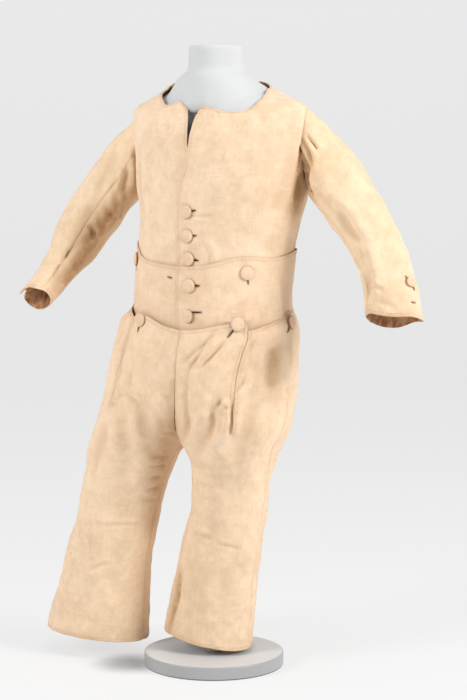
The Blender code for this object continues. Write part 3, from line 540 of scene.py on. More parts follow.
def sew_edges(distances, edges, seed, points):
    """Push and half thickness along the edges.

    A hem is two more layers for the hem's width, puckered along its stitches. A seam dips and
    puckers a little. Every edge is rounded: the half thickness falls along a quarter circle.
    """
    push, worn = np.zeros((2,) + points.shape[:-1])
    half = np.full(points.shape[:-1], WALL / 2)
    ripple = swells(points, (seed, RIPPLE_LENGTH, 1))
    for edge, kind in edges.items():
        away = distances[edge]
        if kind == "seam":
            push += SEAM_RIPPLE * ripple * np.exp(-away / RIPPLE_REACH)
            push -= SEAM_DIP * np.exp(-(away / SEAM_REACH) ** 2)
            worn = np.maximum(worn, SEAM_WEAR * np.exp(-away / SEAM_REACH))
        else:
            inside = 1 - ramp(away, kind - HEM_STEP, kind + HEM_STEP)
            half += HEM_SWELL * inside
            push += HEM_RIPPLE * ripple * np.exp(-((away - kind) / HEM_RIPPLE_REACH) ** 2)
            push -= GROOVE_DEPTH * np.exp(-((away - kind + GROOVE_INSET) / GROOVE_REACH) ** 2)
            worn = np.maximum(worn, np.exp(-away / HEM_WEAR))
    for edge, kind in edges.items():
        share = np.clip(1 - distances[edge] / RIM_ROUND["seam" if kind == "seam" else "hem"], 0, 1)
        half *= np.sqrt(1 - share ** 2)
    return push, half, worn


def button_seats():
    """Centre of the flat back of each button's solid, and the way that its dome faces."""
    seats = {}
    for name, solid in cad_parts.items():
        if not name.startswith("button"):
            continue
        corners = np.array([solid.matrix_world @ corner.co for corner in solid.data.vertices])
        middle = corners.mean(axis=0)
        facing = np.linalg.svd(corners - middle, full_matrices=False)[2][2]
        if facing @ (middle - np.array([0, 0.01, middle[2]])) < 0 and "cuff" not in name:
            facing = -facing
        if "cuff" in name and facing[0] - facing[1] < 0:
            facing = -facing
        seats[name] = (middle + facing * ((corners - middle) @ facing).min(), facing)
    return seats


def dimples(points, names, radius=0.009):
    """Push round buttons: each draws the cloth in under itself and puckers it in rays."""
    push = np.zeros(points.shape[:-1])
    for name in names:
        centre, facing = seats[name]
        offset = points - centre
        near = np.linalg.norm(offset, axis=-1) < DIMPLE_NEAR
        offset = offset[near]
        away = np.linalg.norm(offset, axis=-1) / radius
        turn = np.arctan2(offset[:, 2], offset @ np.cross(facing, (0, 0, 1)))
        rays = RAY_HEIGHT * np.sin(RAYS * turn + 1) * np.exp(-((away - RAY_PLACE) / RAY_WIDTH) ** 2)
        push[near] += rays - DIMPLE_DEPTH * np.exp(-(away / DIMPLE_SHARE) ** 4)
    return push


def line_distance(points, start, stop):
    """Distance of each point from the nearest point of a straight line."""
    line = stop - start
    t = np.clip((points - start) @ line / (line @ line), 0, 1)
    return np.linalg.norm(points - start - t[..., None] * line, axis=-1)


def painted_shade(points, push):
    """Painted shade of pressed-in cloth, which levels off with depth, and a bell of painted shade round each
    shade line.
    """
    pressed = np.minimum(push - np.median(push) + HOLLOW_START, 0)
    darkening = np.zeros(points.shape[:-1])
    for *ends, reach, strength in SHADE_LINES:
        away = line_distance(points, np.array(ends[:3]), np.array(ends[3:]))
        darkening = np.maximum(darkening, strength * np.exp(-(away / reach) ** 2))
    return HOLLOW_SHADE * (1 - np.exp(pressed / HOLLOW_DEPTH)) + darkening


seats = button_seats()
laid = {}


def keep_patch(name, points, sign, normals, distances, push, half, worn):
    """Keep one patch of cloth: its points pushed out, its normals, half thickness, masks and map."""
    moved = points + normals * push[..., None]
    run = edge_distances(points)["first"]
    laid.setdefault(name, []).append({
        "points": moved, "normals": outward(moved, sign), "half": half, "hollow": painted_shade(points, push),
        "edge": worn, "map": np.stack([run, distances["low"]], axis=-1), "distances": distances,
        "sign": sign})


def lay(name, points, sign, edges, push, seed):
    """Keep one patch of cloth that is sewn along its edges."""
    distances = edge_distances(points)
    seam_push, half, worn = sew_edges(distances, edges, seed, points)
    keep_patch(name, points, sign, outward(points, sign), distances, push + seam_push, half, worn)


def grid_faces(rows, columns, closed=False):
    """Quads between the neighbours in a grid of corners, which may be closed round its columns."""
    index = np.arange(rows * columns).reshape(rows, columns)
    after = np.roll(index, -1, axis=1)
    quads = np.stack([index[:-1], after[:-1], after[1:], index[1:]], axis=-1)
    return (quads if closed else quads[:, :-1]).reshape(-1, 4)


def merge(corners, digits):
    """Chosen corners when those that touch are merged, and the new number of each corner."""
    _, kept, merged = np.unique(np.round(corners, digits), axis=0, return_index=True, return_inverse=True)
    return kept, merged.ravel()


def add_layers(mesh, places, masks):
    """Give a mesh its cloth map, for each corner of a face, and its masks, for each corner."""
    layer = mesh.uv_layers.new(name="cloth")
    layer.data.foreach_set("uv", places.astype(np.float32).ravel())
    for name, values in masks.items():
        attribute = mesh.attributes.new(name, "FLOAT", "POINT")
        attribute.data.foreach_set("value", values.astype(np.float32).ravel())


def wall_mesh(name, patches):
    """Closed wall: outer and inner grids half a thickness from the middle, joined at the rims."""
    corners, faces, inner_face, masks, places = [], [], [], [], []
    count = 0
    for patch in patches:
        offset = patch["normals"] * patch["half"][..., None]
        quad = grid_faces(*patch["half"].shape)
        if patch["sign"] < 0:
            quad = quad[:, ::-1]
        for inner, shift in ((False, offset), (True, -offset)):
            corners.append((patch["points"] + shift).reshape(-1, 3))
            faces.append((quad[:, ::-1] if inner else quad) + count)
            inner_face.append(np.full(len(quad), inner))
            masks.append(np.stack([patch["hollow"].ravel(), patch["edge"].ravel()], axis=-1))
            places.append(patch["map"].reshape(-1, 2))
            count += patch["half"].size
    corners, faces = np.concatenate(corners), np.concatenate(faces)
    kept, merged = merge(corners, 6)
    mesh = bpy.data.meshes.new(name)
    mesh.from_pydata(corners[kept].tolist(), [], merged[faces].tolist())
    mesh.polygons.foreach_set("material_index", np.concatenate(inner_face).astype(np.int32))
    hollow, edge = np.concatenate(masks)[kept].T
    add_layers(mesh, np.concatenate(places)[faces.ravel()], {"hollow": hollow, "edge": edge})
    mesh.shade_smooth()
    return mesh


def put(name, data):
    """New object in the scene."""
    made = bpy.data.objects.new(name, data)
    bpy.context.scene.collection.objects.link(made)
    return made


def show(name, mesh, materials, replaced=()):
    """Put a finished mesh in the scene, riding on the part, with its finish and what it replaces."""
    for material in materials:
        mesh.materials.append(material)
    piece = put(name, mesh)
    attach(piece, "root")
    if replaced:
        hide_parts(*replaced)
    return piece


def cut_and_hang(node, material):
    """Panel of the suit in place of its solid, with its outer and inner cotton."""
    piece = show("cloth_" + node, wall_mesh(node, laid[node]), [material, inside_cloth], [node])


def body_push(points):
    """Push of the jacket and waistband: placed creases, dimples, and soft swells of two sizes."""
    return creases(points, torso, TORSO_CREASES) + dimples(points, seats) + swells(points, *BODY_SWELLS)


jacket_cloth = cotton("jacket_cotton")
inside_cloth = cotton("cotton_inside", inside=True)

levels = even(lambda level: torso(60, level), 0, NECK, exact=(ARMPIT, TIP))[:, None]
for side, sign in SIDES.items():
    scooped = levels
    for _ in range(2):
        start = edge_angle(scooped, side) * sign
        angle = start + (armhole_angle(scooped, -ARMHOLE_FRONT) - start) * shares(FRONT_WIDTH)[None, :]
        scooped = scoop(angle * sign, levels)
    out = lap(angle, 1 if side == "left" else 0)
    points = trim(torso(angle * sign, scooped, out), last=True)
    name = "jacket_front_" + side
    edges = {"first": HEM_WIDTH, "high": NECK_HEM_WIDTH, "low": HEM_WIDTH, "last": "seam"}
    lay(name, points, sign, edges, body_push(points), SEAM_SEEDS["jacket"])
    cut_and_hang(name, jacket_cloth)

start = armhole_angle(levels, ARMHOLE_BACK)
angle = start + (360 - 2 * start) * shares(BACK_WIDTH)[None, :]
points = trim(torso(angle, scoop(angle, levels)), first=True, last=True)
edges = {"first": "seam", "high": NECK_HEM_WIDTH, "low": HEM_WIDTH, "last": "seam"}
lay("jacket_back", points, 1, edges, body_push(points), SEAM_SEEDS["jacket"])
cut_and_hang("jacket_back", jacket_cloth)

# Waistband: a wide band of two halves, seamed at centre back. It is buttoned round the jacket's
# lower part, with its upper edge free and its lower one inside the trousers.
BAND_TOP_COLUMNS = ("angle", "z")
BAND_TOP = (
    (-180, 0.552), (-110, 0.556), (-62, 0.5535), (-50, 0.5450), (-40, 0.5365), (-24, 0.5320), (-6, 0.5287),
    (8, 0.5287), (24, 0.5340), (33, 0.5392), (70, 0.5402), (95, 0.5450), (180, 0.552),
)
BAND_LOW, BAND_WIDTH, BAND_HEIGHT, BAND_PRESS = -0.42, 0.30, 0.105, -0.0004
# Creases of the band, in rows like the body's.
BAND_CREASES = (
    (-33, 0.55, -31, 1.42, 0.0024, -0.0029, 1),
    (-28, 0.50, -26, 1.50, 0.0055, 0.0014, 1),
    (-4, 1.34, 10, 1.40, 0.0030, 0.0018, 0),
    (-3, 1.24, 8, 1.12, 0.0028, -0.0022, 1),
    (-6, 1.14, 4, 1.02, 0.0026, 0.0014, 1),
    (10, 1.06, 30, 1.12, 0.0040, 0.0013, 0),
    (14, 0.94, 38, 0.98, 0.0060, -0.0014, 0),
    (-12, 0.62, 6, 0.66, 0.0030, 0.0014, 1),
    (-14, 0.50, 2, 0.44, 0.0030, -0.0022, 1),
    (8, 0.30, 30, 0.42, 0.0040, -0.0018, 2),
    (10, 0.52, 28, 0.60, 0.0034, 0.0014, 2),
    (34, 0.30, 56, 0.62, 0.0070, -0.0016, 2),
    (40, 0.70, 62, 1.10, 0.0090, 0.0013, 2),
    (78, 0.25, 72, 1.20, 0.0080, 0.0018, 2),
    (86, 0.35, 84, 1.30, 0.0060, -0.0023, 2),
    (98, 1.2, 118, 0.8, 0.0080, -0.0018, 2),
    (-64, 0.35, -72, 1.20, 0.0070, -0.0018, 2),
    (-88, 0.4, -96, 1.1, 0.0070, 0.0018, 2),
    (-118, 1.1, -112, 0.4, 0.0080, -0.0018, 2),
    (150, 0.6, 166, 1.3, 0.0090, 0.0016, 2),
    (-150, 1.2, -168, 0.7, 0.0090, -0.0018, 2),
    (136, 0.9, 146, 0.2, 0.0070, -0.0018, 2),
)


def band(angle, level, side):
    """Waistband's ring: the jacket's, moved out by a layer and by the laps under it."""
    return torso(angle, level, LAYER + lap(angle, 2 if side == "left" else 1))


band_cloth = cotton("waistband_cotton", tint=(0.980, 0.950, 0.930, 1))
for side, sign in SIDES.items():
    middle = edge_angle(1.0, side) * sign
    angle = middle + (180 - middle) * shares(BAND_WIDTH)[None, :]
    top = smooth(BAND_TOP, BAND_TOP_COLUMNS, "z", angle * sign)
    share = shares(BAND_HEIGHT)[:, None]
    points = band(angle * sign, BAND_LOW + (level_at(top) - BAND_LOW) * share, side)
    points[..., 2] += (top - points[-1:, :, 2]) * ramp(share, 0.5, 1)
    points = trim(points, last=True)
    name = "waistband_" + side
    push = body_push(points) + creases(points, torso, BAND_CREASES)
    edges = {"first": HEM_WIDTH, "high": HEM_WIDTH, "low": HEM_WIDTH, "last": "seam"}
    lay(name, points, sign, edges, np.maximum(push, BAND_PRESS), SEAM_SEEDS["band"])
    cut_and_hang(name, band_cloth)

# Sleeves: cut in two pieces, an upper and an under one, and set into the armholes. They follow
# the bend of an arm, with soft folds inside the elbow, and end in open cuffs.
HEAD_SWELL, HEAD_CLEARANCE = 0.45, 0.006
ARM_FACING = (0.5, -0.866, 0.0)
ARM_COLUMNS = ("row", "x", "y", "z", "broad", "deep", "slant", "lift")
ARM_PATHS = {
    "left": (
        (0, 0.1610, 0.028, 0.637, 0.0380, 0.0345, 0.000, 0.000),
        (1, 0.1862, 0.022, 0.609, 0.0360, 0.0325, 0.000, 0.000),
        (2, 0.2165, 0.018, 0.570, 0.0328, 0.0295, 0.000, 0.000),
        (3, 0.2425, 0.006, 0.531, 0.0315, 0.0255, 0.000, 0.000),
        (4, 0.2556, -0.004, 0.503, 0.0330, 0.0215, 0.003, 0.002),
        (5, 0.2650, -0.010, 0.468, 0.0345, 0.0185, 0.008, 0.009),   # cuff
    ),
    "right": (
        (0, -0.1600, 0.027, 0.637, 0.0385, 0.0350, 0.000, 0.000),
        (1, -0.1795, 0.021, 0.613, 0.0360, 0.0345, 0.000, 0.000),
        (2, -0.1940, 0.009, 0.586, 0.0360, 0.0335, 0.000, 0.000),
        (3, -0.2020, -0.018, 0.552, 0.0318, 0.0315, 0.000, 0.000),
        (4, -0.2050, -0.054, 0.518, 0.0230, 0.0290, 0.001, 0.000),
        (5, -0.2160, -0.090, 0.482, 0.0200, 0.0275, 0.003, 0.002),   # cuff
    ),
}
# A row is a piece, the angles of its two seams, and its width in metres.
ARM_PIECES = {
    "left": (("upper", 0.0, 157.5, 0.105), ("under", 157.5, 360.0, 0.125)),
    "right": (("under", 90.0, 270.0, 0.125), ("upper", 270.0, 450.0, 0.125)),
}
ARM_SWELLS = ((31, 0.050, 0.00100), (32, 0.018, 0.00040))
# The cuffs' edges are uneven. A row is a drop's angle round the arm, its half width, and its length.
CUFF_DROPS = {
    "left": ((95, 50, 0.0100), (30, 22, 0.0020), (-48, 34, -0.0070), (150, 14, -0.0012)),
    "right": ((6, 13, 0.0085), (-30, 15, -0.0085), (70, 24, 0.0022), (-110, 26, 0.0020)),
}
ARM_GAP_UNDER, CUFF_DIMPLE = 0.0004, 0.0065
CUFF_ROWS = (4.1, 5.0)
# Creases of the sleeves, in rows like the body's, by angle round the arm and row of its path.
ARM_CREASES = {
    "left": (
        (74, -0.98, 119, -0.48, 0.0024, -0.0043, 3),
        (66, -0.92, 79, -0.60, 0.0024, -0.0044, 2),
        (69, -0.98, 96, -0.50, 0.0030, 0.0025, 2),
        (88, -0.98, 124, -0.62, 0.0028, 0.0022, 3),
        (100, -0.98, 134, -0.50, 0.0026, -0.0032, 3),
        (116, -0.96, 150, -0.10, 0.0060, -0.0039, 4),
        (130, -0.90, 140, 0.40, 0.0050, 0.0029, 4),
        (144, -0.90, 151, 0.30, 0.0050, -0.0040, 2),
        (139, 0.20, 131, 1.20, 0.0060, -0.0029, 2),
        (121, 1.10, 124, 2.05, 0.0075, -0.0043, 1),
        (124, 2.00, 135, 2.90, 0.0070, -0.0043, 2),
        (134, 2.80, 150, 4.60, 0.0060, -0.0040, 3),
        (104, 1.00, 108, 2.40, 0.0075, 0.0025, 2),
        (112, 2.50, 122, 3.80, 0.0070, 0.0022, 2),
        (142, 1.60, 100, 2.35, 0.0060, -0.0022, 5),
        (146, 1.90, 112, 2.60, 0.0045, 0.0018, 4),
        (78, -0.30, 72, 1.80, 0.0120, -0.0014, 3),
        (68, 1.75, 71, 3.40, 0.0110, -0.0016, 3),
        (131, 3.98, 108, 4.20, 0.0028, -0.0025, 2),
        (128, 3.80, 110, 4.02, 0.0032, 0.0014, 2),
        (125, 4.52, 80, 4.74, 0.0036, -0.0016, 3),
        (-120, 0.20, -100, 1.50, 0.0080, -0.0036, 5),
        (-140, 1.60, -110, 2.30, 0.0060, -0.0032, 5),
        (-130, 2.10, -150, 3.40, 0.0070, 0.0025, 5),
        (-60, 0.10, -66, 1.80, 0.0090, 0.0025, 5),
        (-80, -0.90, -60, 0.20, 0.0060, -0.0029, 4),
        (-70, 2.40, -60, 4.00, 0.0080, -0.0022, 4),
    ),
    "right": (
        (84, -0.80, 114, -0.74, 0.0030, -0.0040, 2),
        (112, -0.78, 142, -0.18, 0.0034, -0.0056, 2),
        (76, -0.86, 114, -0.70, 0.0040, -0.0045, 3),
        (95, -0.44, 110, 0.16, 0.0045, -0.0043, 3),
        (100, -0.80, 118, -0.10, 0.0045, 0.0032, 3),
        (108, -0.06, 148, 1.30, 0.0050, -0.0039, 3),
        (114, 0.20, 150, 1.60, 0.0045, 0.0036, 3),
        (100, 0.28, 135, 1.84, 0.0050, -0.0043, 4),
        (94, 0.30, 124, 1.60, 0.0045, 0.0032, 4),
        (107, 1.22, 128, 2.10, 0.0045, -0.0040, 4),
        (128, 1.60, 146, 2.60, 0.0045, 0.0032, 3),
        (96, 2.62, 132, 2.90, 0.0040, -0.0036, 3),
        (98, 2.40, 130, 2.68, 0.0040, 0.0029, 3),
        (114, 2.32, 117, 3.32, 0.0050, -0.0032, 3),
        (99, 3.30, 87, 4.08, 0.0045, -0.0025, 2),
        (140, 3.10, 128, 4.30, 0.0060, -0.0032, 3),
        (54, -0.50, 78, 1.40, 0.0100, -0.0022, 3),
        (22, -0.04, 44, 2.58, 0.0120, -0.0016, 3),
        (60, 1.60, 70, 3.40, 0.0090, 0.0018, 3),
        (-120, 0.20, -110, 1.50, 0.0080, -0.0036, 5),
        (-150, 1.30, -120, 2.30, 0.0060, -0.0032, 5),
        (-60, 0.30, -70, 1.90, 0.0090, 0.0025, 5),
        (-100, 2.20, -80, 3.60, 0.0070, -0.0025, 4),
        (160, 2.50, 150, 3.90, 0.0055, -0.0029, 3),
    ),
}


def armhole(side, angle):
    """Edge of the armhole by angle: 0 is the shoulder tip, 90 the front, 180 the armpit."""
    angle = np.asarray(angle, dtype=float) % 360
    fall = np.where(angle <= 180, angle, 360 - angle) / 180
    level = TIP - (TIP - ARMPIT) * fall
    swing = np.where(angle <= 180, -ARMHOLE_FRONT, ARMHOLE_BACK)
    points = torso(SIDES[side] * armhole_angle(level, swing), level)
    points[..., 0] += SIDES[side] * ARM_GAP_UNDER * fall
    return points


def arm_ring(side, angle, row):
    """Ring across the arm's path: an ellipse of its breadth and depth, slanted, and its direction."""
    rows, step = ARM_PATHS[side], 0.01
    angle, row = np.broadcast_arrays(np.radians(angle), np.asarray(row, dtype=float))
    ring = {name: smooth(rows, ARM_COLUMNS, name, row)[..., None] for name in ARM_COLUMNS}

    def path(at):
        return np.stack([smooth(rows, ARM_COLUMNS, name, at) for name in "xyz"], axis=-1)

    ahead = path(np.minimum(row + step, rows[-1][0])) - path(np.maximum(row - step, 0))
    ahead = unit(ahead)
    outer = unit(np.cross(ahead, np.array(ARM_FACING)) * -SIDES[side])
    face = np.cross(ahead, outer) * SIDES[side]
    centre = np.concatenate([ring["x"], ring["y"], ring["z"]], axis=-1)
    cos, sin = np.cos(angle)[..., None], np.sin(angle)[..., None]
    return (centre + outer * ring["broad"] * cos + face * ring["deep"] * sin
            + ahead * (ring["slant"] * cos - ring["lift"] * sin)), ahead


def arm(side, angle, station):
    """Sleeve's surface: from -1 to 0 a quadratic curve from the armhole, then the arm's rings."""
    angle, station = np.broadcast_arrays(np.asarray(angle, dtype=float), np.asarray(station, dtype=float))
    tube, along = arm_ring(side, angle, np.maximum(station, 0))
    for middle, half_width, length in CUFF_DROPS[side]:
        away = around(angle - middle) / half_width
        drop = length * np.exp(-away ** 2) * ramp(station, *CUFF_ROWS)
        tube = tube + along * drop[..., None]
    first, ahead = arm_ring(side, angle, 0)
    start = armhole(side, angle)
    bend = first - ahead * np.linalg.norm(first - start, axis=-1, keepdims=True) * HEAD_SWELL
    bend[..., 0] += SIDES[side] * HEAD_CLEARANCE * (1 - np.cos(np.radians(angle))) / 2
    t = np.clip(station + 1, 0, 1)[..., None]
    head = (1 - t) ** 2 * start + 2 * t * (1 - t) * bend + t ** 2 * first
    return np.where(station[..., None] < 0, head, tube)


sleeve_cloth = cotton("sleeve_cotton", tint=(1.0, 0.995, 0.96, 1))
for side, sign in SIDES.items():
    stations = even(lambda station: arm(side, 90, station), -1, 5, exact=(0,))[:, None]
    for piece, first, last, width in ARM_PIECES[side]:
        angle = first + (last - first) * shares(width)[None, :]
        points = arm(side, angle, stations)
        push = creases(points, lambda turn, row: arm(side, turn, row), ARM_CREASES[side])
        push += swells(points, *ARM_SWELLS)
        push += dimples(points, ["button_cuff_left"], CUFF_DIMPLE)
        name = f"sleeve_{side}_{piece}"
        lay(name, points, sign, {"first": "seam", "last": "seam", "low": "seam", "high": HEM_WIDTH}, push,
            SEAM_SEEDS["sleeve"])
        cut_and_hang(name, sleeve_cloth)

# Trousers: two fronts and two backs, with a centre seam, wide legs and turned hems. Slits beside
# the fall end in tacks, and the fall hangs from its two corner buttons.
CROTCH_Z, WAIST_Z, SEAM_CURVE = 0.299, 0.440, 2.4
LEG_SQUARE = 0.03
FALL_WIDTH, FLANK_WIDTH, SEAT_WIDTH, RISE = 0.083, 0.048, 0.165, 0.115
SEAT_COLUMNS = ("z", "seam_x", "left_outer", "right_outer", "front_y", "back_y")
SEAT_ROWS = (
    (0.285, -0.0430, 0.0850, -0.1790, -0.0630, 0.0580),
    (0.299, -0.0370, 0.0910, -0.1745, -0.0665, 0.0660),   # crotch
    (0.319, -0.0255, 0.1010, -0.1680, -0.0720, 0.0750),
    (0.344, -0.0150, 0.1065, -0.1595, -0.0780, 0.0830),   # tacks of the fall
    (0.390, -0.0080, 0.1090, -0.1505, -0.0825, 0.0890),   # hips
    (0.420, -0.0050, 0.1115, -0.1430, -0.0830, 0.0885),
    (0.440, -0.0025, 0.1125, -0.1345, -0.0815, 0.0870),
    (0.462, -0.0010, 0.1095, -0.1225, -0.0800, 0.0835),
    (0.494, -0.0010, 0.1073, -0.1148, -0.0795, 0.0807),   # top of the seat
)
LEG_COLUMNS = ("z", "inner_x", "outer_x", "front_y", "back_y")
LEG_ROWS = {
    "left": (
        (0.025, -0.0770, 0.0460, -0.0390, 0.0590),   # hem
        (0.057, -0.0710, 0.0470, -0.0380, 0.0580),
        (0.089, -0.0620, 0.0500, -0.0370, 0.0570),
        (0.121, -0.0555, 0.0540, -0.0360, 0.0560),
        (0.153, -0.0470, 0.0590, -0.0355, 0.0555),
        (0.185, -0.0395, 0.0635, -0.0350, 0.0550),   # knee
        (0.216, -0.0325, 0.0685, -0.0360, 0.0560),
        (0.249, -0.0285, 0.0750, -0.0420, 0.0590),
        (0.280, -0.0290, 0.0825, -0.0585, 0.0640),
        (0.299, -0.0370, 0.0910, -0.0665, 0.0660),   # crotch
        (0.310, -0.0440, 0.0960, -0.0695, 0.0680),
    ),
    "right": (
        (0.025, -0.0990, -0.2450, -0.0670, 0.0310),   # hem
        (0.057, -0.0980, -0.2380, -0.0660, 0.0300),
        (0.089, -0.0965, -0.2265, -0.0650, 0.0290),
        (0.121, -0.0945, -0.2155, -0.0640, 0.0280),
        (0.153, -0.0890, -0.2065, -0.0635, 0.0265),
        (0.185, -0.0830, -0.1950, -0.0630, 0.0250),   # knee
        (0.216, -0.0735, -0.1870, -0.0630, 0.0250),
        (0.249, -0.0630, -0.1820, -0.0625, 0.0290),
        (0.280, -0.0510, -0.1805, -0.0622, 0.0430),
        (0.299, -0.0370, -0.1745, -0.0665, 0.0660),   # crotch
        (0.310, -0.0250, -0.1710, -0.0695, 0.0720),
    ),
}
HEM_Z = {"left": 0.0335, "right": 0.0275}
HEM_TILT = {"left": -0.0105, "right": 0.0040}
TACK_Z = 0.342
SLIT_TOP = {"left": 43.5, "right": 51.0}
SLIT_TACK = {"left": 57.5, "right": 53.0}
SLIT_GAP, SLIT_OPENING = 0.0002, 0.02
SEAM_FADE, SEAM_CALM, FOLD_FADE = 0.010, (-0.0010, 0.0100), 0.14
FALL_SHARE = 7 / 11
FALL_TOP_COLUMNS = ("share", "left", "right")
FALL_TOP = ((0, 0.4475, 0.4475), (0.3, 0.4500, 0.4525), (0.6, 0.4555, 0.4615), (1, 0.4615, 0.4665))
FLANK_TOP = {"left": (0.4480, 0.4680), "right": (0.4600, 0.4850)}
SEAT_TOP = {"left": (0.4690, 0.4920), "right": (0.4860, 0.4930)}

# Broad folds that the solids share: ends in x and z, half width, and depth.
FOLDS = {
    "trouser_front_left": (
        (0.046, 0.345, 0.004, 0.270, 0.012, -0.0050),
        (0.030, 0.350, 0.046, 0.290, 0.011, 0.0030),
        (0.098, 0.395, 0.090, 0.350, 0.016, -0.0060),
        (0.020, 0.215, -0.030, 0.200, 0.012, -0.0022),
    ),
    "trouser_front_right": (
        (-0.098, 0.345, -0.090, 0.268, 0.014, -0.0050),
        (-0.076, 0.325, -0.070, 0.275, 0.011, 0.0028),
        (-0.120, 0.205, -0.165, 0.215, 0.012, -0.0022),
    ),
    "trouser_back_left": (
        (0.030, 0.330, 0.060, 0.250, 0.014, -0.0045),
        (0.060, 0.360, 0.088, 0.300, 0.013, 0.0030),
    ),
    "trouser_back_right": (
        (-0.080, 0.330, -0.100, 0.250, 0.014, -0.0045),
        (-0.060, 0.360, -0.125, 0.300, 0.013, 0.0030),
    ),
}
LEG_SWELLS = ((41, 0.060, 0.00090), (42, 0.020, 0.00048))
# Finer creases: ends as ring angle and height, half width, depth, and bow in degrees.
BACK_CREASES = (
    (30, 0.440, 46, 0.350, 0.0090, -0.0043, 3),
    (60, 0.446, 84, 0.370, 0.0080, -0.0040, 3),
    (50, 0.420, 62, 0.330, 0.0090, 0.0032, 3),
    (110, 0.330, 60, 0.290, 0.0060, -0.0043, 5),
    (120, 0.310, 70, 0.270, 0.0060, 0.0029, 5),
    (90, 0.240, 84, 0.100, 0.0120, -0.0025, 3),
    (40, 0.220, 44, 0.080, 0.0110, 0.0022, 3),
    (70, 0.190, 120, 0.184, 0.0040, -0.0025, 3),
)
LEG_CREASES = {
    "left": (
        (-60.6, 0.364, -62.6, 0.352, 0.0044, 0.0060, 0),
        (-64.5, 0.362, -82.0, 0.334, 0.0026, -0.0058, 2),
        (6, 0.472, -40, 0.454, 0.0100, -0.0045, 0),
        (0, 0.474, 40, 0.478, 0.0100, -0.0045, 0),
        (-66, 0.446, -88, 0.404, 0.0032, -0.0043, 1),
        (-70, 0.434, -86, 0.386, 0.0034, -0.0040, 1),
        (-61, 0.440, -84, 0.390, 0.0038, 0.0029, 1),
        (-58, 0.437, -80, 0.394, 0.0034, -0.0032, 1),
        (-54, 0.428, -74, 0.376, 0.0060, 0.0025, 1),
        (-57, 0.357, -63, 0.316, 0.0027, -0.0062, 1),
        (-53, 0.352, -58, 0.318, 0.0040, 0.0040, 1),
        (-74, 0.346, -98, 0.292, 0.0042, -0.0046, 4),
        (-60, 0.350, -72, 0.305, 0.0055, 0.0039, 2),
        (-74, 0.368, -100, 0.312, 0.0060, 0.0040, 3),
        (-21, 0.428, -18, 0.374, 0.0120, -0.0085, 0),
        (-40, 0.438, -41, 0.404, 0.0040, -0.0025, 0),
        (-34, 0.440, -36, 0.404, 0.0050, 0.0022, 0),
        (-44, 0.391, -54, 0.370, 0.0036, -0.0032, 1),
        (-38, 0.394, -48, 0.366, 0.0042, 0.0022, 1),
        (0, 0.428, -3, 0.372, 0.0050, 0.0036, 0),
        (-40, 0.368, -54, 0.262, 0.0110, -0.0029, 2),
        (-32, 0.335, -36, 0.250, 0.0100, 0.0022, 2),
        (-86, 0.362, -110, 0.284, 0.0075, 0.0032, 2),
        (-84, 0.390, -112, 0.315, 0.0040, -0.0032, 2),
        (-96, 0.340, -132, 0.296, 0.0050, -0.0029, 2),
        (-119, 0.179, -82, 0.173, 0.0026, -0.0023, 3),
        (-116, 0.186, -84, 0.181, 0.0030, 0.0013, 3),
        (-76, 0.169, -38, 0.160, 0.0026, -0.0022, 3),
        (-110, 0.265, -82, 0.271, 0.0040, -0.0016, 3),
        (-114, 0.243, -76, 0.243, 0.0040, -0.0016, 3),
        (-127, 0.122, -128, 0.048, 0.0070, -0.0045, 2),
        (-112, 0.130, -110, 0.052, 0.0080, 0.0032, 2),
        (-58, 0.150, -59, 0.065, 0.0120, -0.0025, 3),
        (-20, 0.200, -26, 0.090, 0.0100, 0.0022, 3),
        (-90, 0.226, -84, 0.140, 0.0120, -0.0018, 3),
    ),
    "right": (
        (10, 0.482, -46, 0.466, 0.0110, -0.0067, 0),
        (0, 0.484, 44, 0.486, 0.0110, -0.0062, 0),
        (-48, 0.418, -54, 0.368, 0.0024, -0.0025, 1),
        (-63, 0.402, -68, 0.362, 0.0024, -0.0029, 1),
        (-56, 0.412, -61, 0.366, 0.0034, 0.0018, 1),
        (-55, 0.340, -62, 0.360, 0.0034, -0.0032, -2),
        (-62, 0.360, -86, 0.342, 0.0036, -0.0039, -4),
        (-59, 0.350, -82, 0.336, 0.0040, 0.0043, -3),
        (-52, 0.378, -72, 0.337, 0.0036, 0.0029, 3),
        (-82, 0.350, -122, 0.300, 0.0095, -0.0049, 2),
        (-118, 0.302, -150, 0.268, 0.0090, -0.0048, 2),
        (-88, 0.362, -142, 0.312, 0.0075, 0.0039, 2),
        (-72, 0.320, -100, 0.282, 0.0090, 0.0040, 3),
        (-93, 0.364, -112, 0.357, 0.0034, -0.0018, 2),
        (-116, 0.331, -138, 0.323, 0.0030, -0.0029, 2),
        (-126, 0.322, -150, 0.312, 0.0030, -0.0025, 2),
        (-134, 0.313, -168, 0.300, 0.0030, -0.0029, 2),
        (-138, 0.275, -168, 0.275, 0.0026, -0.0025, 2),
        (-140, 0.262, -170, 0.263, 0.0026, -0.0027, 2),
        (-142, 0.247, -172, 0.248, 0.0026, -0.0025, 2),
        (-144, 0.232, -176, 0.233, 0.0026, -0.0025, 2),
        (-144, 0.218, -178, 0.217, 0.0026, -0.0022, 2),
        (-54, 0.183, -178, 0.185, 0.0022, -0.0012, 0),
        (-56, 0.188, -176, 0.190, 0.0030, 0.0011, 0),
        (-72, 0.203, -92, 0.128, 0.0024, -0.0018, 0),
        (-93, 0.118, -116, 0.132, 0.0030, -0.0023, 2),
        (-90, 0.124, -112, 0.137, 0.0032, 0.0014, 2),
        (-66, 0.320, -67, 0.250, 0.0100, -0.0032, 2),
        (-112, 0.280, -115, 0.206, 0.0110, -0.0025, 2),
        (-84, 0.270, -92, 0.206, 0.0100, 0.0022, 2),
        (-72, 0.078, -104, 0.046, 0.0060, -0.0022, 2),
        (-126, 0.166, -126, 0.080, 0.0110, -0.0025, 2),
        (-40, 0.160, -46, 0.070, 0.0110, 0.0022, 2),
    ),
}


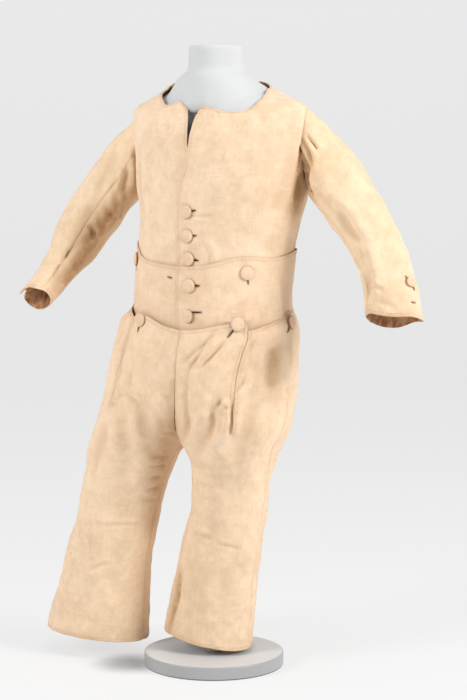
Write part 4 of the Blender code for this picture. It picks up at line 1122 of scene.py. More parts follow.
def seam_turn(z):
    """Ring angle where a half meets the centre seam: 90 at the waist, 180 at the crotch."""
    t = np.clip((np.asarray(z, dtype=float) - CROTCH_Z) / (WAIST_Z - CROTCH_Z), 0, 1)
    return np.degrees(np.arccos(-(1 - t) ** SEAM_CURVE))


def leg(side, angle, z, out=0.0):
    """Trouser half: part of an ellipse between outseam, at angle 0, and the centre seam or inseam."""
    sign = SIDES[side]
    angle, z = np.broadcast_arrays(np.asarray(angle, dtype=float), np.asarray(z, dtype=float))
    upper = z >= CROTCH_Z
    ring = {}
    for name, seat_name in (("inner_x", "seam_x"), ("outer_x", side + "_outer"), ("front_y", "front_y"),
                            ("back_y", "back_y")):
        ring[name] = np.where(upper, smooth(SEAT_ROWS, SEAT_COLUMNS, seat_name, z),
                              smooth(LEG_ROWS[side], LEG_COLUMNS, name, z))
    meet, turn = np.radians(seam_turn(z)), np.radians(angle)
    reach = 1 - np.cos(meet) * (1 + LEG_SQUARE * np.sin(2 * meet) ** 2)
    half_width = sign * (ring["outer_x"] - ring["inner_x"]) / reach
    swell = 1 + LEG_SQUARE * np.sin(2 * turn) ** 2
    x = ring["outer_x"] - sign * half_width + sign * (half_width + out) * np.cos(turn) * swell
    half_depth = (ring["back_y"] - ring["front_y"]) / 2
    y = (ring["front_y"] + ring["back_y"]) / 2 + (half_depth + out) * np.sin(turn) * swell
    return np.stack([x, y, z], axis=-1)


def slit_angle(side, z):
    """Ring angle of the fall's slit, and of the line below its tack."""
    return np.interp(z, (TACK_Z, WAIST_Z), (SLIT_TACK[side], SLIT_TOP[side]))


def part_seam(points, side, column):
    """Draw the centre seam's column off the middle plane, and the inseam's column off the seam."""
    ends = points[:, :: 1 if column == 0 else -1]
    away, _ = from_rim(ends)
    ends, z = ends[:, :RIM_COLUMNS], points[:, column, 2]
    fade = 1 - ramp(away, 0, SEAM_FADE)
    lean = np.abs(np.cos(np.radians(seam_turn(z))))
    shift = SIDES[side] * (SEAM_GAP / 2 + lean * (WALL + SEAM_GAP) / 2) * (z >= CROTCH_Z - SEAM_GAP)
    ends[..., 0] += shift[:, None] * fade
    _, step = from_rim(ends)
    lower = (z <= CROTCH_Z + SEAM_GAP)[:, None]
    ends += step * (fade * SEAM_GAP / 2 * lower)[..., None]


def broad_folds(points, name):
    """Distance out at each point for the broad folds: a bell round each fold's own line in x and z."""
    push = np.zeros(points.shape[:-1])
    for from_x, from_z, to_x, to_z, half_width, depth in FOLDS[name]:
        away = line_distance(points[..., [0, 2]], np.array([from_x, from_z]), np.array([to_x, to_z]))
        push += depth * np.exp(-(away / half_width) ** 2)
    return push


def leg_rows(side, turn_at_hem, top):
    """Heights of a panel's rows, with rows exactly at the crotch and at the tack."""
    hem = HEM_Z[side] + HEM_TILT[side] * np.cos(np.radians(turn_at_hem))
    lower = shares(CROTCH_Z - HEM_Z[side])[:, None]
    middle = np.linspace(0, 1, round((TACK_Z - CROTCH_Z) / STEP) + 1)[1:, None]
    upper = shares(RISE)[1:, None]
    rim = len(RIM) - 1
    lower, upper = np.delete(lower, slice(-1 - rim, -1), 0), np.delete(upper, slice(0, rim), 0)
    return np.concatenate([hem + (CROTCH_Z - hem) * lower,
                           CROTCH_Z + (TACK_Z - CROTCH_Z) * middle + 0 * hem,
                           TACK_Z + (top - TACK_Z) * upper])


def leg_points(name, side, turns, top, u):
    """Middle surface of a trouser panel, with its broad folds, from a rule for its ring angles."""
    z = leg_rows(side, turns(HEM_Z[side]), top)
    turn = turns(z)
    fade = ramp(np.minimum(u, 1 - u), 0, FOLD_FADE)[None, :]
    return leg(side, turn, z, broad_folds(leg(side, turn, z), name) * fade)


def leg_push(points, side, seam):
    """Push of creases, dimples at the buttons and swells, which fades out toward the centre seam."""
    push = creases(points, lambda turn, z: leg(side, turn, z), LEG_CREASES[side] + BACK_CREASES)
    push += dimples(points, seats)
    push += swells(points, *LEG_SWELLS)
    return push * ramp(edge_distances(points)[seam], *SEAM_CALM) if seam else push


def trouser_front(side):
    """Front panel's two patches, the fall and the flank, which are one cloth below the tack."""
    name = "trouser_front_" + side
    fall_share, flank_share = shares(FALL_WIDTH), shares(FLANK_WIDTH)

    def fall_turns(z):
        return -seam_turn(z) + (seam_turn(z) - slit_angle(side, z)) * fall_share

    def flank_turns(z):
        return -slit_angle(side, z) * (1 - flank_share)

    fall_top = smooth(FALL_TOP, FALL_TOP_COLUMNS, side, fall_share)
    flank_top = FLANK_TOP[side][0] + (FLANK_TOP[side][1] - FLANK_TOP[side][0]) * flank_share
    fall = leg_points(name, side, fall_turns, fall_top, fall_share * FALL_SHARE)
    flank = leg_points(name, side, flank_turns, flank_top, FALL_SHARE + flank_share * (1 - FALL_SHARE))
    part_seam(fall, side, 0)
    opened = SLIT_GAP / 2 * ramp(fall[:, -1, 2], TACK_Z, TACK_Z + SLIT_OPENING)[:, None]
    fall = trim(fall, last=True, by=opened)
    flank = trim(trim(flank, first=True, by=opened), last=True)
    patches = []
    for points, slit, seam in ((fall, "last", "first"), (flank, "first", "last")):
        distances = edge_distances(points)
        distances[slit] = np.hypot(distances[slit], np.maximum(TACK_Z - points[..., 2], 0))
        edges = {"low": HEM_WIDTH, "high": HEM_WIDTH, slit: HEM_WIDTH, seam: "seam"}
        seam_push, half, worn = sew_edges(distances, edges, SEAM_SEEDS["trouser"], points)
        push = leg_push(points, side, "first" if seam == "first" else None) + seam_push
        patches.append([points, SIDES[side], outward(points, SIDES[side]), distances, push, half, worn])
    return name, patches


trouser_cloth = cotton("trouser_cotton", tint=(0.995, 0.980, 0.960, 1))
for side, sign in SIDES.items():
    name, (fall, flank) = trouser_front(side)
    below = fall[0][:, -1, 2] <= TACK_Z + 1e-6
    # Below the tack both patches are one cloth, so their edges share their normals and pushes.
    for values, others in ((fall[2], flank[2]), (fall[4], flank[4])):
        values[below, -1] = others[below, 0] = (values[below, -1] + others[below, 0]) / 2
    for patch in (fall, flank):
        keep_patch(name, *patch)
    fall, flank = laid[name]
    shared = unit(fall["normals"][below, -1] + flank["normals"][below, 0])
    fall["normals"][below, -1] = flank["normals"][below, 0] = shared
    fall["half"][below, -1] = flank["half"][below, 0]
    cut_and_hang(name, trouser_cloth)

    name = "trouser_back_" + side
    u = shares(SEAT_WIDTH)
    top = SEAT_TOP[side][0] + (SEAT_TOP[side][1] - SEAT_TOP[side][0]) * u
    points = leg_points(name, side, lambda z: seam_turn(z) * u, top, u)
    part_seam(points, side, -1)
    points = trim(points, first=True)
    edges = {"low": HEM_WIDTH, "high": HEM_WIDTH, "first": "seam", "last": "seam"}
    lay(name, points, sign, edges, leg_push(points, side, "last"), SEAM_SEEDS["trouser"])
    cut_and_hang(name, trouser_cloth)

# Stitches: running stitches in tan thread, coloured darker brown than the cloth as painted shade,
# sewn by hand beside every turned edge that shows. Each is a short bead of thread, highest in its
# middle, with its two ends in the cloth.
STITCH_PITCH, STITCH_LENGTH, THREAD_RADIUS = 0.0034, 0.0020, 0.00030
STITCH_INSET, NECK_STITCH_INSET = 0.0043, 0.0032
STITCH_DRIFT, STITCH_SWAY = 0.00022, 0.00012
STITCH_SEED = 60
# A bead's rings: their places along it, and their shares of its radius.
BEAD_RINGS = ((-1, 0), (-0.8, 0.65), (-0.3, 1), (0.3, 1), (0.8, 0.65), (1, 0))
BEAD_SIDES, BEAD_RISE, BEAD_ARCH = 6, 0.5, 1.3
# The edges of each panel that carry running stitches.
STITCHED = {
    "jacket_front_left": ("first", "high"),
    "jacket_front_right": ("first", "high"),
    "jacket_back": ("high",),
    "waistband_left": ("first", "high"),
    "waistband_right": ("high",),
    "sleeve_left_upper": ("high",),
    "sleeve_left_under": ("high",),
    "sleeve_right_upper": ("high",),
    "sleeve_right_under": ("high",),
    "trouser_front_left": ("low", "high", "slit"),
    "trouser_front_right": ("low", "high", "slit"),
    "trouser_back_left": ("low", "high"),
    "trouser_back_right": ("low", "high"),
}


def outer_face(patch):
    """Points of a patch's outer face: half a thickness out from its middle."""
    return patch["points"] + patch["normals"] * patch["half"][..., None]


def line_beside(patch, edge, inset):
    """Line on the outer face at a distance in from an edge, with the normals along it."""
    away, values = patch["distances"][edge], np.concatenate([outer_face(patch), patch["normals"]], axis=-1)
    if edge in ("low", "high"):
        away, values = away.T, values.swapaxes(0, 1)
    line = []
    for distance, row in zip(away, values):
        if distance.min() < inset / 2:
            order = distance.argsort()
            line.append([np.interp(inset, distance[order], row[order, column]) for column in range(6)])
    line = np.array(line)
    return line[:, :3], unit(line[:, 3:])


def beads(middles, ways, facings, length, radius):
    """Corners and faces of beads of thread: rings round each way, lifted by a parabola."""
    turn = np.arange(BEAD_SIDES) * 2 * math.pi / BEAD_SIDES
    ways, facings = unit(ways), unit(facings)
    aside = np.cross(facings, ways)
    corners = []
    for place, share in BEAD_RINGS:
        lift = radius * (BEAD_RISE - BEAD_ARCH * place ** 2)
        ring = (np.cos(turn)[:, None, None] * facings + np.sin(turn)[:, None, None] * aside) * radius * share
        corners.append(middles + ways * place * length / 2 + facings * lift + ring)
    corners = np.array(corners).transpose(2, 0, 1, 3)
    size = len(BEAD_RINGS), BEAD_SIDES
    faces = grid_faces(*size, closed=True) + np.arange(len(middles))[:, None, None] * math.prod(size)
    return corners.reshape(-1, 3), faces.reshape(-1, 4)


def running_stitches(line, facings, seed):
    """Beads at a pitch along a line, each a little off its place and its length."""
    rng = np.random.default_rng(seed)
    length = np.concatenate([[0], np.cumsum(np.linalg.norm(np.diff(line, axis=0), axis=-1))])
    stations = np.arange(STITCH_PITCH, length[-1] - STITCH_PITCH / 2, STITCH_PITCH)
    stations += rng.normal(0, STITCH_DRIFT, len(stations))

    def at(station, values):
        return np.stack([np.interp(station, length, values[:, column]) for column in range(3)], axis=-1)

    middles, ways = at(stations, line), at(stations + 0.0006, line) - at(stations - 0.0006, line)
    facing = at(stations, facings)
    middles = middles + unit(np.cross(facing, ways)) * rng.normal(0, STITCH_SWAY, len(stations))[:, None]
    return beads(middles, ways, facing, STITCH_LENGTH, THREAD_RADIUS)


def merged_mesh(name, corners, faces):
    """Smooth mesh with its touching corners merged, and the corners and faces that are kept."""
    kept, merged = merge(corners, 7)
    rings = [list(dict.fromkeys(face)) for face in merged[faces].tolist()]
    rings = [ring for ring in rings if len(ring) > 2]
    mesh = bpy.data.meshes.new(name)
    mesh.from_pydata(corners[kept].tolist(), [], rings)
    mesh.shade_smooth()
    return mesh, kept, rings


def plain_mesh(name, parts):
    """One mesh from several sets of corners and faces."""
    starts = np.cumsum([0] + [len(corners) for corners, _ in parts])
    faces = [quads + start for (_, quads), start in zip(parts, starts)]
    return merged_mesh(name, np.concatenate([corners for corners, _ in parts]), np.concatenate(faces))[0]


def speckled(name, scale, detail, one, other, roughness, specular):
    """Matt finish of two colours mixed by a noise."""
    material, tree, shader = new_finish(name)
    colour = blend_colours(tree, noise(tree, object_place(tree), scale, detail), one, other)
    connect(tree, shader, {"Base Color": colour, "Roughness": roughness, "Specular IOR Level": specular})
    return material


# The thread's brown is darker than the cloth's: painted shade of the stitches.
thread = speckled("thread", 300.0, 1.0, (0.44, 0.27, 0.14, 1), (0.62, 0.42, 0.25, 1), 0.8, 0.25)
for number, (name, stitched) in enumerate(STITCHED.items()):
    runs = []
    for order, patch in enumerate(laid[name]):
        for edge in stitched:
            if edge == "slit":
                edge = "first" if order else "last"
            at_neck = name.startswith("jacket") and edge == "high"
            line, facings = line_beside(patch, edge, NECK_STITCH_INSET if at_neck else STITCH_INSET)
            runs.append(running_stitches(line, facings, STITCH_SEED + number))
    show("stitches_" + name, plain_mesh("stitches_" + name, runs), [thread])

# Buttonholes: slits worked round with whip stitches. A slit is a dark lens that follows the cloth,
# painted shade in place of an opening.
# Each fastened one comes out from under its button, on the side that the button's thread pulls to.
WHIP_PITCH, WHIP_LENGTH = 0.0010, 0.0019
WHIP_LEAN, WHIP_REACH, WHIP_SHARE = 0.18, 0.42, 0.9
LENS_LIFT, LENS_ROWS, LENS_COLUMNS, LENS_ROUND = 0.00016, 15, 5, 0.7
DRAPE_REACH, DRAPE_CORNERS, HEIGHT_SHARE = 0.03, 4, 0.3
# A row is a panel, its button, the way of the hole in degrees, its two ends as distances from the
# button's middle, and its half width.
BUTTONHOLES = (
    ("jacket_front_left", "button_front_1", 8, 0.003, 0.0150, 0.0011),
    ("jacket_front_left", "button_front_2", 4, 0.003, 0.0145, 0.0010),
    ("jacket_front_left", "button_front_3", -6, 0.003, 0.0150, 0.0012),
    ("waistband_left", "button_front_4", 2, 0.003, 0.0155, 0.0013),
    ("waistband_left", "button_waistband_left", -84, 0.003, 0.0150, 0.0008),
    ("waistband_right", "button_waistband_right", -84, 0.003, 0.0150, 0.0008),
    ("trouser_front_left", "button_fall_left", -128, 0.003, 0.0215, 0.0010),
    ("trouser_front_right", "button_fall_right", -97, 0.003, 0.0160, 0.0010),
    ("trouser_front_left", "button_side_left", -140, 0.003, 0.0190, 0.0009),
    ("trouser_back_right", "button_side_right", -90, 0.003, 0.0150, 0.0009),
    ("trouser_back_left", "button_back_left", -90, 0.003, 0.0150, 0.0009),
    ("trouser_back_right", "button_back_right", -90, 0.003, 0.0150, 0.0009),
    ("sleeve_left_upper", "button_cuff_left", -70, 0.002, 0.0115, 0.0008),
    ("sleeve_left_upper", "button_cuff_left", 112, 0.002, 0.0105, 0.0007),
)


def drape(points, facing, name, lift):
    """Points moved along a direction onto a panel's outer face, by its four nearest corners."""
    spots = np.concatenate([outer_face(patch).reshape(-1, 3) for patch in laid[name]])
    spots = spots[np.linalg.norm(spots - points.reshape(-1, 3).mean(axis=0), axis=-1) < DRAPE_REACH]
    offset = spots - points[..., None, :]
    height = offset @ facing
    lateral = np.linalg.norm(offset - height[..., None] * facing, axis=-1) + 1e-5
    lateral += HEIGHT_SHARE * np.abs(height)
    nearest = lateral.argsort(axis=-1)[..., :DRAPE_CORNERS]
    weight = 1 / np.take_along_axis(lateral, nearest, -1) ** 2
    height = (np.take_along_axis(height, nearest, -1) * weight).sum(-1) / weight.sum(-1)
    return points + (height + lift)[..., None] * facing


def sideways(facing):
    """Level way to the right across a facing, and the way up across it."""
    rightward = unit(np.cross((0, 0, 1), facing))
    return rightward, np.cross(facing, rightward)


def worked_slit(name, start, stop, facing, half_width):
    """Lens of a slit between two points, and the whip stitches along its two lips."""
    way = unit(stop - start)
    aside = np.cross(facing, way)
    place = np.linspace(0, 1, LENS_ROWS)[:, None, None]
    side = np.linspace(-1, 1, LENS_COLUMNS)[None, :, None]
    width = half_width * np.sin(math.pi * place.clip(0.02, 0.98)) ** LENS_ROUND
    lens = drape(start + (stop - start) * place + aside * side * width, facing, name, LENS_LIFT)
    quads = grid_faces(LENS_ROWS, LENS_COLUMNS)[:, [0, 3, 2, 1]]
    count = max(4, round(np.linalg.norm(stop - start) / WHIP_PITCH))
    place = np.repeat((np.arange(count) + 0.5) / count, 2)[:, None]
    side = np.tile([-1.0, 1.0], count)[:, None]
    reach = half_width * np.sin(math.pi * place) ** LENS_ROUND + WHIP_LENGTH * WHIP_REACH
    middles = drape(start + (stop - start) * place + aside * side * reach, facing, name, 0.0)
    whips = beads(middles, aside + way * side * WHIP_LEAN, np.tile(facing, (len(middles), 1)),
                  WHIP_LENGTH, THREAD_RADIUS * WHIP_SHARE)
    return (lens.reshape(-1, 3), quads), whips


# The lens's near-black brown is painted shade of the hole.
slit_painted_shade = speckled("slit_shade", 500.0, 2.0, (0.030, 0.018, 0.012, 1), (0.085, 0.050, 0.030, 1), 1.0, 0.5)
slits = {}
for panel, button, way, near, far, half_width in BUTTONHOLES:
    centre, facing = seats[button]
    rightward, upward = sideways(facing)
    line = rightward * math.cos(math.radians(way)) + upward * math.sin(math.radians(way))
    slits.setdefault(panel, []).append(
        worked_slit(panel, centre + line * near, centre + line * far, facing, half_width))
# The fifth front button is half drawn into its own hole, so the hole shows as two dark lines.
centre, facing = seats["button_front_5"]
rightward, upward = sideways(facing)
for (from_right, from_up), (to_right, to_up), half_width in (
        ((-0.002, 0.0050), (0.0165, 0.0056), 0.0010), ((-0.0015, 0.0055), (0.0015, -0.0085), 0.0009)):
    start = centre + rightward * from_right + upward * from_up
    stop = centre + rightward * to_right + upward * to_up
    slits["waistband_left"].append(worked_slit("waistband_left", start, stop, facing, half_width))
# A spare hole beside the fourth button, two holes above the right cuff, and one at the left cuff.
for panel, one, other, half_width in (
        ("waistband_right", band(-12.0, 1.290, "right"), band(-7.6, 1.255, "right"), 0.0007),
        ("sleeve_right_upper", arm("right", 86.5, 3.50), arm("right", 88.0, 3.95), 0.0008),
        ("sleeve_right_upper", arm("right", 84.0, 4.15), arm("right", 88.0, 4.50), 0.0006),
        ("sleeve_left_upper", arm("left", 52.0, 4.52), arm("left", 38.0, 4.54), 0.0006)):
    away = one - np.array([0.0, 0.01, one[2]]) if panel.startswith("waist") else np.array([0.30, -0.95, 0])
    slits.setdefault(panel, []).append(worked_slit(panel, one, other, unit(away), half_width))
for panel, made in slits.items():
    for name, parts, finish in zip(("slits_", "whipping_"), zip(*made), (slit_painted_shade, thread)):
        show(name + panel, plain_mesh(name + panel, parts), [finish])

# Buttons: domes covered with the suit's cotton, drawn tight over a round mould. The cover is
# gathered under the rim, and each dome sits in its dimple on the cloth's finished face.
BUTTON_RADIUS, CUFF_BUTTON_RADIUS, BUTTON_HEIGHT = 0.0090, 0.0065, 0.0033
BUTTON_ROWS, BUTTON_COLUMNS, PLEATS, PLEAT_HEIGHT = 13, 49, 22, 0.00010
BUTTON_LIFT, MAP_SHIFT, BUTTON_RIM_DARKENING = 0.00110, 0.03, 1.1
# The fifth front button is pulled to its right and in, and tilts.
PULLED_ASIDE, PULLED_IN, PULLED_TILT = 0.0035, 0.0012, 0.36
# The rim turns under in three rings. A row is a share of the radius, and a drop.
UNDER_RIM = ((0.93, 0.0004), (0.60, 0.0005), (0, 0.0005))
BUTTON_PANELS = {
    "button_front_1": "jacket_front_left", "button_front_2": "jacket_front_left",
    "button_front_3": "jacket_front_left", "button_front_4": "waistband_left",
    "button_front_5": "waistband_left", "button_waistband_left": "waistband_left",
    "button_waistband_right": "waistband_right", "button_fall_left": "trouser_front_left",
    "button_fall_right": "trouser_front_right", "button_side_left": "trouser_back_left",
    "button_side_right": "trouser_back_right", "button_back_left": "trouser_back_left",
    "button_back_right": "trouser_back_right", "button_cuff_left": "sleeve_left_upper",
}


def button_mesh(name, centre, facing, radius, seed):
    """Dome from its middle to under its rim: a quarter of a flattened ellipse, pleated at the rim."""
    rng = np.random.default_rng(seed)
    fall = np.linspace(0, 1, BUTTON_ROWS)[:, None]
    turn = np.linspace(0, 2 * math.pi, BUTTON_COLUMNS)[None, :]
    phase = rng.uniform(0, 6, 3)
    across = radius * np.sin(fall * math.pi / 2) ** 0.92 * np.ones_like(turn)
    height = BUTTON_HEIGHT * np.cos(fall * math.pi / 2).clip(0) ** 0.62 + 0 * turn
    pleat = np.sin(PLEATS * turn + phase[0] + 2 * np.sin(3 * turn + phase[1])) * ramp(fall, 0.55, 0.95)
    across *= 1 + 0.008 * pleat + 0.010 * np.sin(2 * turn + phase[2])
    height += PLEAT_HEIGHT * pleat * radius / BUTTON_RADIUS
    across = np.concatenate([across] + [across[-1:] * share for share, _ in UNDER_RIM])
    height = np.concatenate([height] + [height[-1:] - drop for _, drop in UNDER_RIM])
    edge = np.concatenate([ramp(fall, 0.62, 1.0) + 0 * turn, np.ones((len(UNDER_RIM), turn.size))])
    flat = np.stack([across * np.cos(turn), across * np.sin(turn)], axis=-1)
    points = centre + flat @ np.array(sideways(facing)) + height[..., None] * facing
    faces = grid_faces(*across.shape)[:, [0, 3, 2, 1]]
    mesh, kept, rings = merged_mesh(name, points.reshape(-1, 3), faces)
    places = (flat.reshape(-1, 2) + seed * MAP_SHIFT)[kept][np.concatenate(rings)]
    edge = edge.ravel()[kept]
    # The hollow mask darkens the rim and its turned-under rings, growing with the square of the edge mask.
    add_layers(mesh, places, {"hollow": BUTTON_RIM_DARKENING * edge ** 2, "edge": edge})
    return mesh


button_cloth = cotton("button_cotton", tint=(0.93, 0.885, 0.885, 1))
for number, (name, panel) in enumerate(BUTTON_PANELS.items()):
    centre, facing = seats[name]
    centre = drape(centre[None, :], facing, panel, BUTTON_LIFT)[0]
    if name == "button_front_5":
        rightward, _ = sideways(facing)
        centre = centre - rightward * PULLED_ASIDE - facing * PULLED_IN
        facing = unit(facing - rightward * PULLED_TILT)
    radius = CUFF_BUTTON_RADIUS if name == "button_cuff_left" else BUTTON_RADIUS
    show("covered_" + name, button_mesh(name, centre, facing, radius, number), [button_cloth],
         [name])

# Dress form and base: a padded torso drawn smooth in pale grey jersey, and a steel pole and round
# disc in pale grey powder coat. The torso's rings lie inside the jacket's, by level and inset, and
# end in the neck's rings, by height, half width and half depth. Behind the gape the form is painted
# dark brown as painted shade, darker downward, and the disc's side is painted darker grey as painted
# shade, darkest at its lower rim.
FORM_GREY = (0.615, 0.622, 0.620, 1)
GAPE_SHADE_BROWN = (0.110, 0.060, 0.035, 1)
BASE_GREY = (0.655, 0.660, 0.655, 1)
# Greys of painted shade on the disc's side and at its lower rim.
SIDE_SHADE_GREY, LOWER_RIM_SHADE_GREY = (0.40, 0.40, 0.40, 1), (0.10, 0.10, 0.10, 1)
SIDE_REACH, LOWER_RIM = (0.0898, 0.0906), (0.0025, 0.0010)
FORM_HIPS = ((0.362, 0.040), (0.366, 0.070), (0.376, 0.088), (0.392, 0.098))
FORM_ROWS = (
    (-0.7, 0.0048), (0.5, 0.0045), (1.4, 0.0042), (2, 0.0042), (3, 0.0040), (4, 0.0040), (5, 0.0042),
    (5.8, 0.0044), (6.333, 0.0030), (6.667, 0.0020), (7, 0.0018), (7.333, 0.0018), (7.7, 0.0018), (8, 0.0018),
)
FORM_NECK = (
    (0.7660, 0.0500, 0.0430), (0.7720, 0.0410, 0.0385), (0.7790, 0.0362, 0.0354), (0.7920, 0.0350, 0.0345),
    (0.8025, 0.0348, 0.0343), (0.8058, 0.0334, 0.0329), (0.8070, 0.0300, 0.0296), (0.8070, 0.0080, 0.0080),
)
FORM_SEGMENTS, FORM_STEPS = 120, 4
# Hollows of the form, under the arms, at the right shoulder and behind the gape: depth, ring angle,
# half width, power of the bell, and the levels where each starts, is full, starts to end, and ends.
UNDER_ARMS = (0.0070, 86, 24, 4, 2.0, 3.2, 4.6, 5.6)
RIGHT_SHOULDER = (0.0022, -72, 44, 4, 6.5, 7.5, 9.0, 10.0)
BEHIND_GAPE = (0.0100, -1, 9.5, 6, 4.6, 6.0, 7.7, 8.1)


def hollow(angle, level, depth, middle, half_width, power, start, full, ending, end):
    """Depth of one hollow: a bell round the ring, between its levels."""
    bell = np.exp(-((angle - middle) / half_width) ** power)
    return depth * bell * ramp(level, start, full) * (1 - ramp(level, ending, end))


def form_mesh():
    """Torso and neck: rings joined by cubic Hermite curves, with the part behind the gape set back and masked
    for painted shade.
    """
    angle = np.arange(FORM_SEGMENTS) * 360 / FORM_SEGMENTS
    angle = np.where(angle > 180, angle - 360, angle)
    aside, ahead = np.sin(np.radians(angle)), -np.cos(np.radians(angle))
    low = smooth(TORSO_ROWS, TORSO_COLUMNS, "centre_x", -1)
    rings = [np.stack([low + width * aside, 0.003 + 0.70 * width * ahead, 0 * angle + z], axis=-1)
             for z, width in FORM_HIPS]
    for level, inset in FORM_ROWS:
        inset = inset + hollow(np.abs(angle), level, *UNDER_ARMS) + hollow(angle, level, *RIGHT_SHOULDER)
        rings.append(torso(angle, level, -inset - hollow(angle, level, *BEHIND_GAPE)))
        rings[-1][:, 2] -= inset * ramp(level, 4.5, 6.5)
    rings += [np.stack([0.0015 + width * aside, 0.004 + depth * ahead, 0 * angle + z], axis=-1)
              for z, width, depth in FORM_NECK]
    rings = np.array(rings)
    slopes = np.gradient(rings, axis=0)
    t = (np.arange(FORM_STEPS) / FORM_STEPS)[:, None, None]
    fine = [(2 * t ** 3 - 3 * t ** 2 + 1) * rings[k] + (t ** 3 - 2 * t ** 2 + t) * slopes[k]
            + (3 * t ** 2 - 2 * t ** 3) * rings[k + 1] + (t ** 3 - t ** 2) * slopes[k + 1]
            for k in range(len(rings) - 1)]
    fine = np.concatenate(fine + [rings[-1:]])
    last = np.arange(FORM_SEGMENTS) + (len(fine) - 1) * FORM_SEGMENTS
    faces = grid_faces(len(fine), FORM_SEGMENTS, closed=True).tolist()
    faces += [list(range(FORM_SEGMENTS))[::-1], last.tolist()]
    mesh = bpy.data.meshes.new("smooth_form")
    mesh.from_pydata(fine.reshape(-1, 3).tolist(), [], faces)
    across, height = fine[..., 0] + 0.001, fine[..., 2]
    # Painted shade behind the gape: a narrow strip at the front, stronger downward.
    dark = (1 - ramp(np.abs(across), 0.008, 0.012)) * (fine[..., 1] < 0) * (1 - ramp(height, 0.690, 0.734))
    attribute = mesh.attributes.new("shade", "FLOAT", "POINT")
    attribute.data.foreach_set("value", dark.astype(np.float32).ravel())
    mesh.shade_smooth()
    return mesh


def gape_shade(tree, place):
    """Share and colour of the dark in the gape, from the form's own mask."""
    return mask(tree, "shade"), GAPE_SHADE_BROWN


def side_shade(tree, place):
    """Share and colour of the painted shade on the disc's side, darkest at its lower rim."""
    reach = vector(tree, "LENGTH", vector(tree, "MULTIPLY", place, (1, 1, 0)), number=True)
    height = add(tree, "ShaderNodeSeparateXYZ", {0: place}).outputs["Z"]
    grey = blend_colours(tree, fraction(tree, height, *LOWER_RIM), SIDE_SHADE_GREY, LOWER_RIM_SHADE_GREY)
    return fraction(tree, reach, *SIDE_REACH), grey


def pale_finish(name, colour, cloud, roughness, grain, depth, shade_rule=None):
    """Matt or satin pale finish: faint darker clouds, a fine bump of noise, and painted shade if any."""
    material, tree, shader = new_finish(name)
    place = object_place(tree)
    clouds = fraction(tree, noise(tree, place, 9.0, 4.0), 0.35, 0.65)
    tone = blend_colours(tree, clouds, colour, tuple(part * cloud for part in colour[:3]) + (1,))
    if shade_rule:
        share, other = shade_rule(tree, place)
        tone = blend_colours(tree, share, tone, other)
    sockets = {"Height": noise(tree, place, grain), "Strength": 0.4, "Distance": depth}
    bump = add(tree, "ShaderNodeBump", sockets).outputs[0]
    connect(tree, shader, {"Base Color": tone, "Normal": bump, "Roughness": roughness,
                           "Specular IOR Level": 0.35})
    return material


jersey = pale_finish("jersey", FORM_GREY, 0.965, 0.75, 900.0, 0.0002, gape_shade)
powder = pale_finish("powder_coat", BASE_GREY, 0.97, 0.42, 700.0, 0.00008)
disc_powder = pale_finish("scuffed_powder_coat", BASE_GREY, 0.97, 0.42, 700.0, 0.00008, side_shade)
show("smooth_form", form_mesh(), [jersey], ["form_torso"])
for name, material in (("form_pole", powder), ("base_disc", disc_powder)):
    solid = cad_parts[name]
    solid.data.materials.clear()
    solid.data.materials.append(material)

# Studio: a sweep of pale paper that rises behind the suit. Two wide soft lights stand at its sides,
# the viewer's right one stronger, and a weaker one hangs above. A dim surround and the paper's own
# glow fill the shadows.
SURROUND = (0.285, 0.285, 0.291, 1)
VIEW_AZIMUTH, VIEW_DISTANCE, VIEW_HEIGHT, VIEW_PITCH = 30.0, 2.6, 0.681, 5.83
FOCAL_PIXELS, PHOTO_HEIGHT, SENSOR = 2011, 700, 36.0
VIEW_SIDESTEP = 20 / FOCAL_PIXELS * VIEW_DISTANCE
SWEEP_FRONT, SWEEP_BACK, SWEEP_BEND, SWEEP_TOP, SWEEP_SIDE = -7.0, 3.4, 1.1, 5.0, 8.0
PAPER_NEAR, PAPER_FAR = (0.68, 0.68, 0.68, 1), (0.66, 0.66, 0.663, 1)
# The paper's own grey, and the grey and place of a painted shadow left of the disc.
PAPER_GREY, FLOOR_SHADOW_GREY = (0.22, 0.22, 0.22, 1), (0.22, 0.215, 0.21, 1)
FLOOR_SHADOW_PLACE = (-0.094, -0.056, 0)
# Soft square lights: places across and into the picture and up, the aim's height, side, and watts.
LIGHTS = (
    ("right", 2.2, -1.3, 1.6, 0.40, 1.0, 62),
    ("left", -2.2, -1.3, 1.6, 0.40, 1.0, 41),
    ("top", 0.0, -0.3, 3.0, 0.30, 1.2, 17),
)

world = bpy.data.worlds.new("studio")
bpy.context.scene.world = world
world.use_nodes = True
world.node_tree.nodes["Background"].inputs["Color"].default_value = SURROUND
world.node_tree.nodes["Background"].inputs["Strength"].default_value = 1.0
bpy.context.scene.view_settings.view_transform = "Standard"

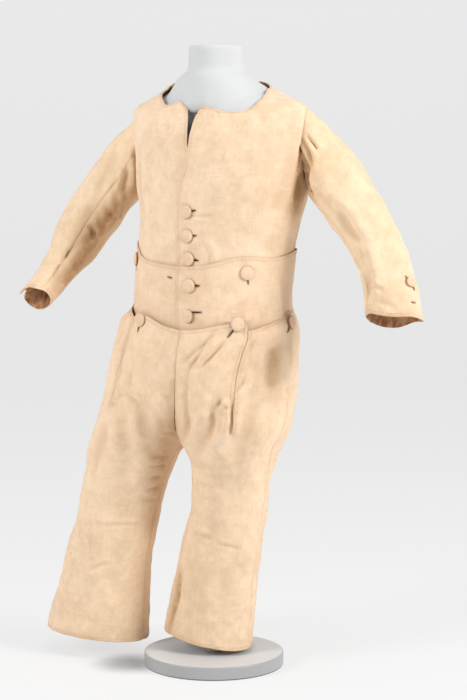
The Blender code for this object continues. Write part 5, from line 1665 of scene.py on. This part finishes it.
turn, pitch = math.radians(VIEW_AZIMUTH), math.radians(VIEW_PITCH)
across = np.array([math.cos(turn), math.sin(turn), 0])
into = np.array([-math.sin(turn), math.cos(turn), 0])
bend = np.linspace(0, math.pi / 2, 25)
profile = np.concatenate([
    [(SWEEP_FRONT, 0), (-0.3, 0), (0.4, 0)],
    np.stack([SWEEP_BACK + SWEEP_BEND * np.sin(bend), SWEEP_BEND * (1 - np.cos(bend))], axis=-1),
    [(SWEEP_BACK + SWEEP_BEND, SWEEP_TOP)]])
sweep_points = [tuple(into * depth + across * side + np.array([0, 0, z]))
                for side in (-SWEEP_SIDE, SWEEP_SIDE) for depth, z in profile]
count = len(profile)
sweep_mesh = bpy.data.meshes.new("paper_sweep")
sweep_mesh.from_pydata(sweep_points, [], [(k, k + 1, k + 1 + count, k + count) for k in range(count - 1)])
sweep_mesh.shade_smooth()
paper, tree, shader = new_finish("paper")
place = object_place(tree)
depth_here = vector(tree, "DOT_PRODUCT", place, tuple(into), number=True)
glow = blend_colours(tree, fraction(tree, depth_here, -0.10, 0.55), PAPER_NEAR, PAPER_FAR)
# Painted shadow: the paper's glow is darker round a spot left of the disc.
floor_shadow_reach = vector(tree, "DISTANCE", place, FLOOR_SHADOW_PLACE, number=True)
glow = blend_colours(tree, fraction(tree, floor_shadow_reach, 0.066, 0.010), glow, FLOOR_SHADOW_GREY)
connect(tree, shader, {"Base Color": PAPER_GREY, "Roughness": 0.9, "Specular IOR Level": 0.0,
                       "Emission Color": glow, "Emission Strength": 1.0})
sweep_mesh.materials.append(paper)
put("paper_sweep", sweep_mesh)

for name, aside, deep, high, aim, size, power in LIGHTS:
    lamp = bpy.data.lights.new(name, "AREA")
    lamp.shape = "SQUARE"
    lamp.size = size
    lamp.energy = power
    light = put(name, lamp)
    light.location = across * aside + into * deep + np.array([0, 0, high])
    light.rotation_euler = (light.location - Vector((0, 0, aim))).to_track_quat("Z", "Y").to_euler()

lens = bpy.data.cameras.new("camera")
lens.sensor_fit = "VERTICAL"
lens.sensor_height = SENSOR
lens.lens = FOCAL_PIXELS * SENSOR / PHOTO_HEIGHT
camera = put("camera", lens)
camera.location = across * VIEW_SIDESTEP - into * VIEW_DISTANCE + np.array([0, 0, VIEW_HEIGHT])
camera.rotation_euler = (math.pi / 2 - pitch, 0, turn)
bpy.context.scene.camera = camera
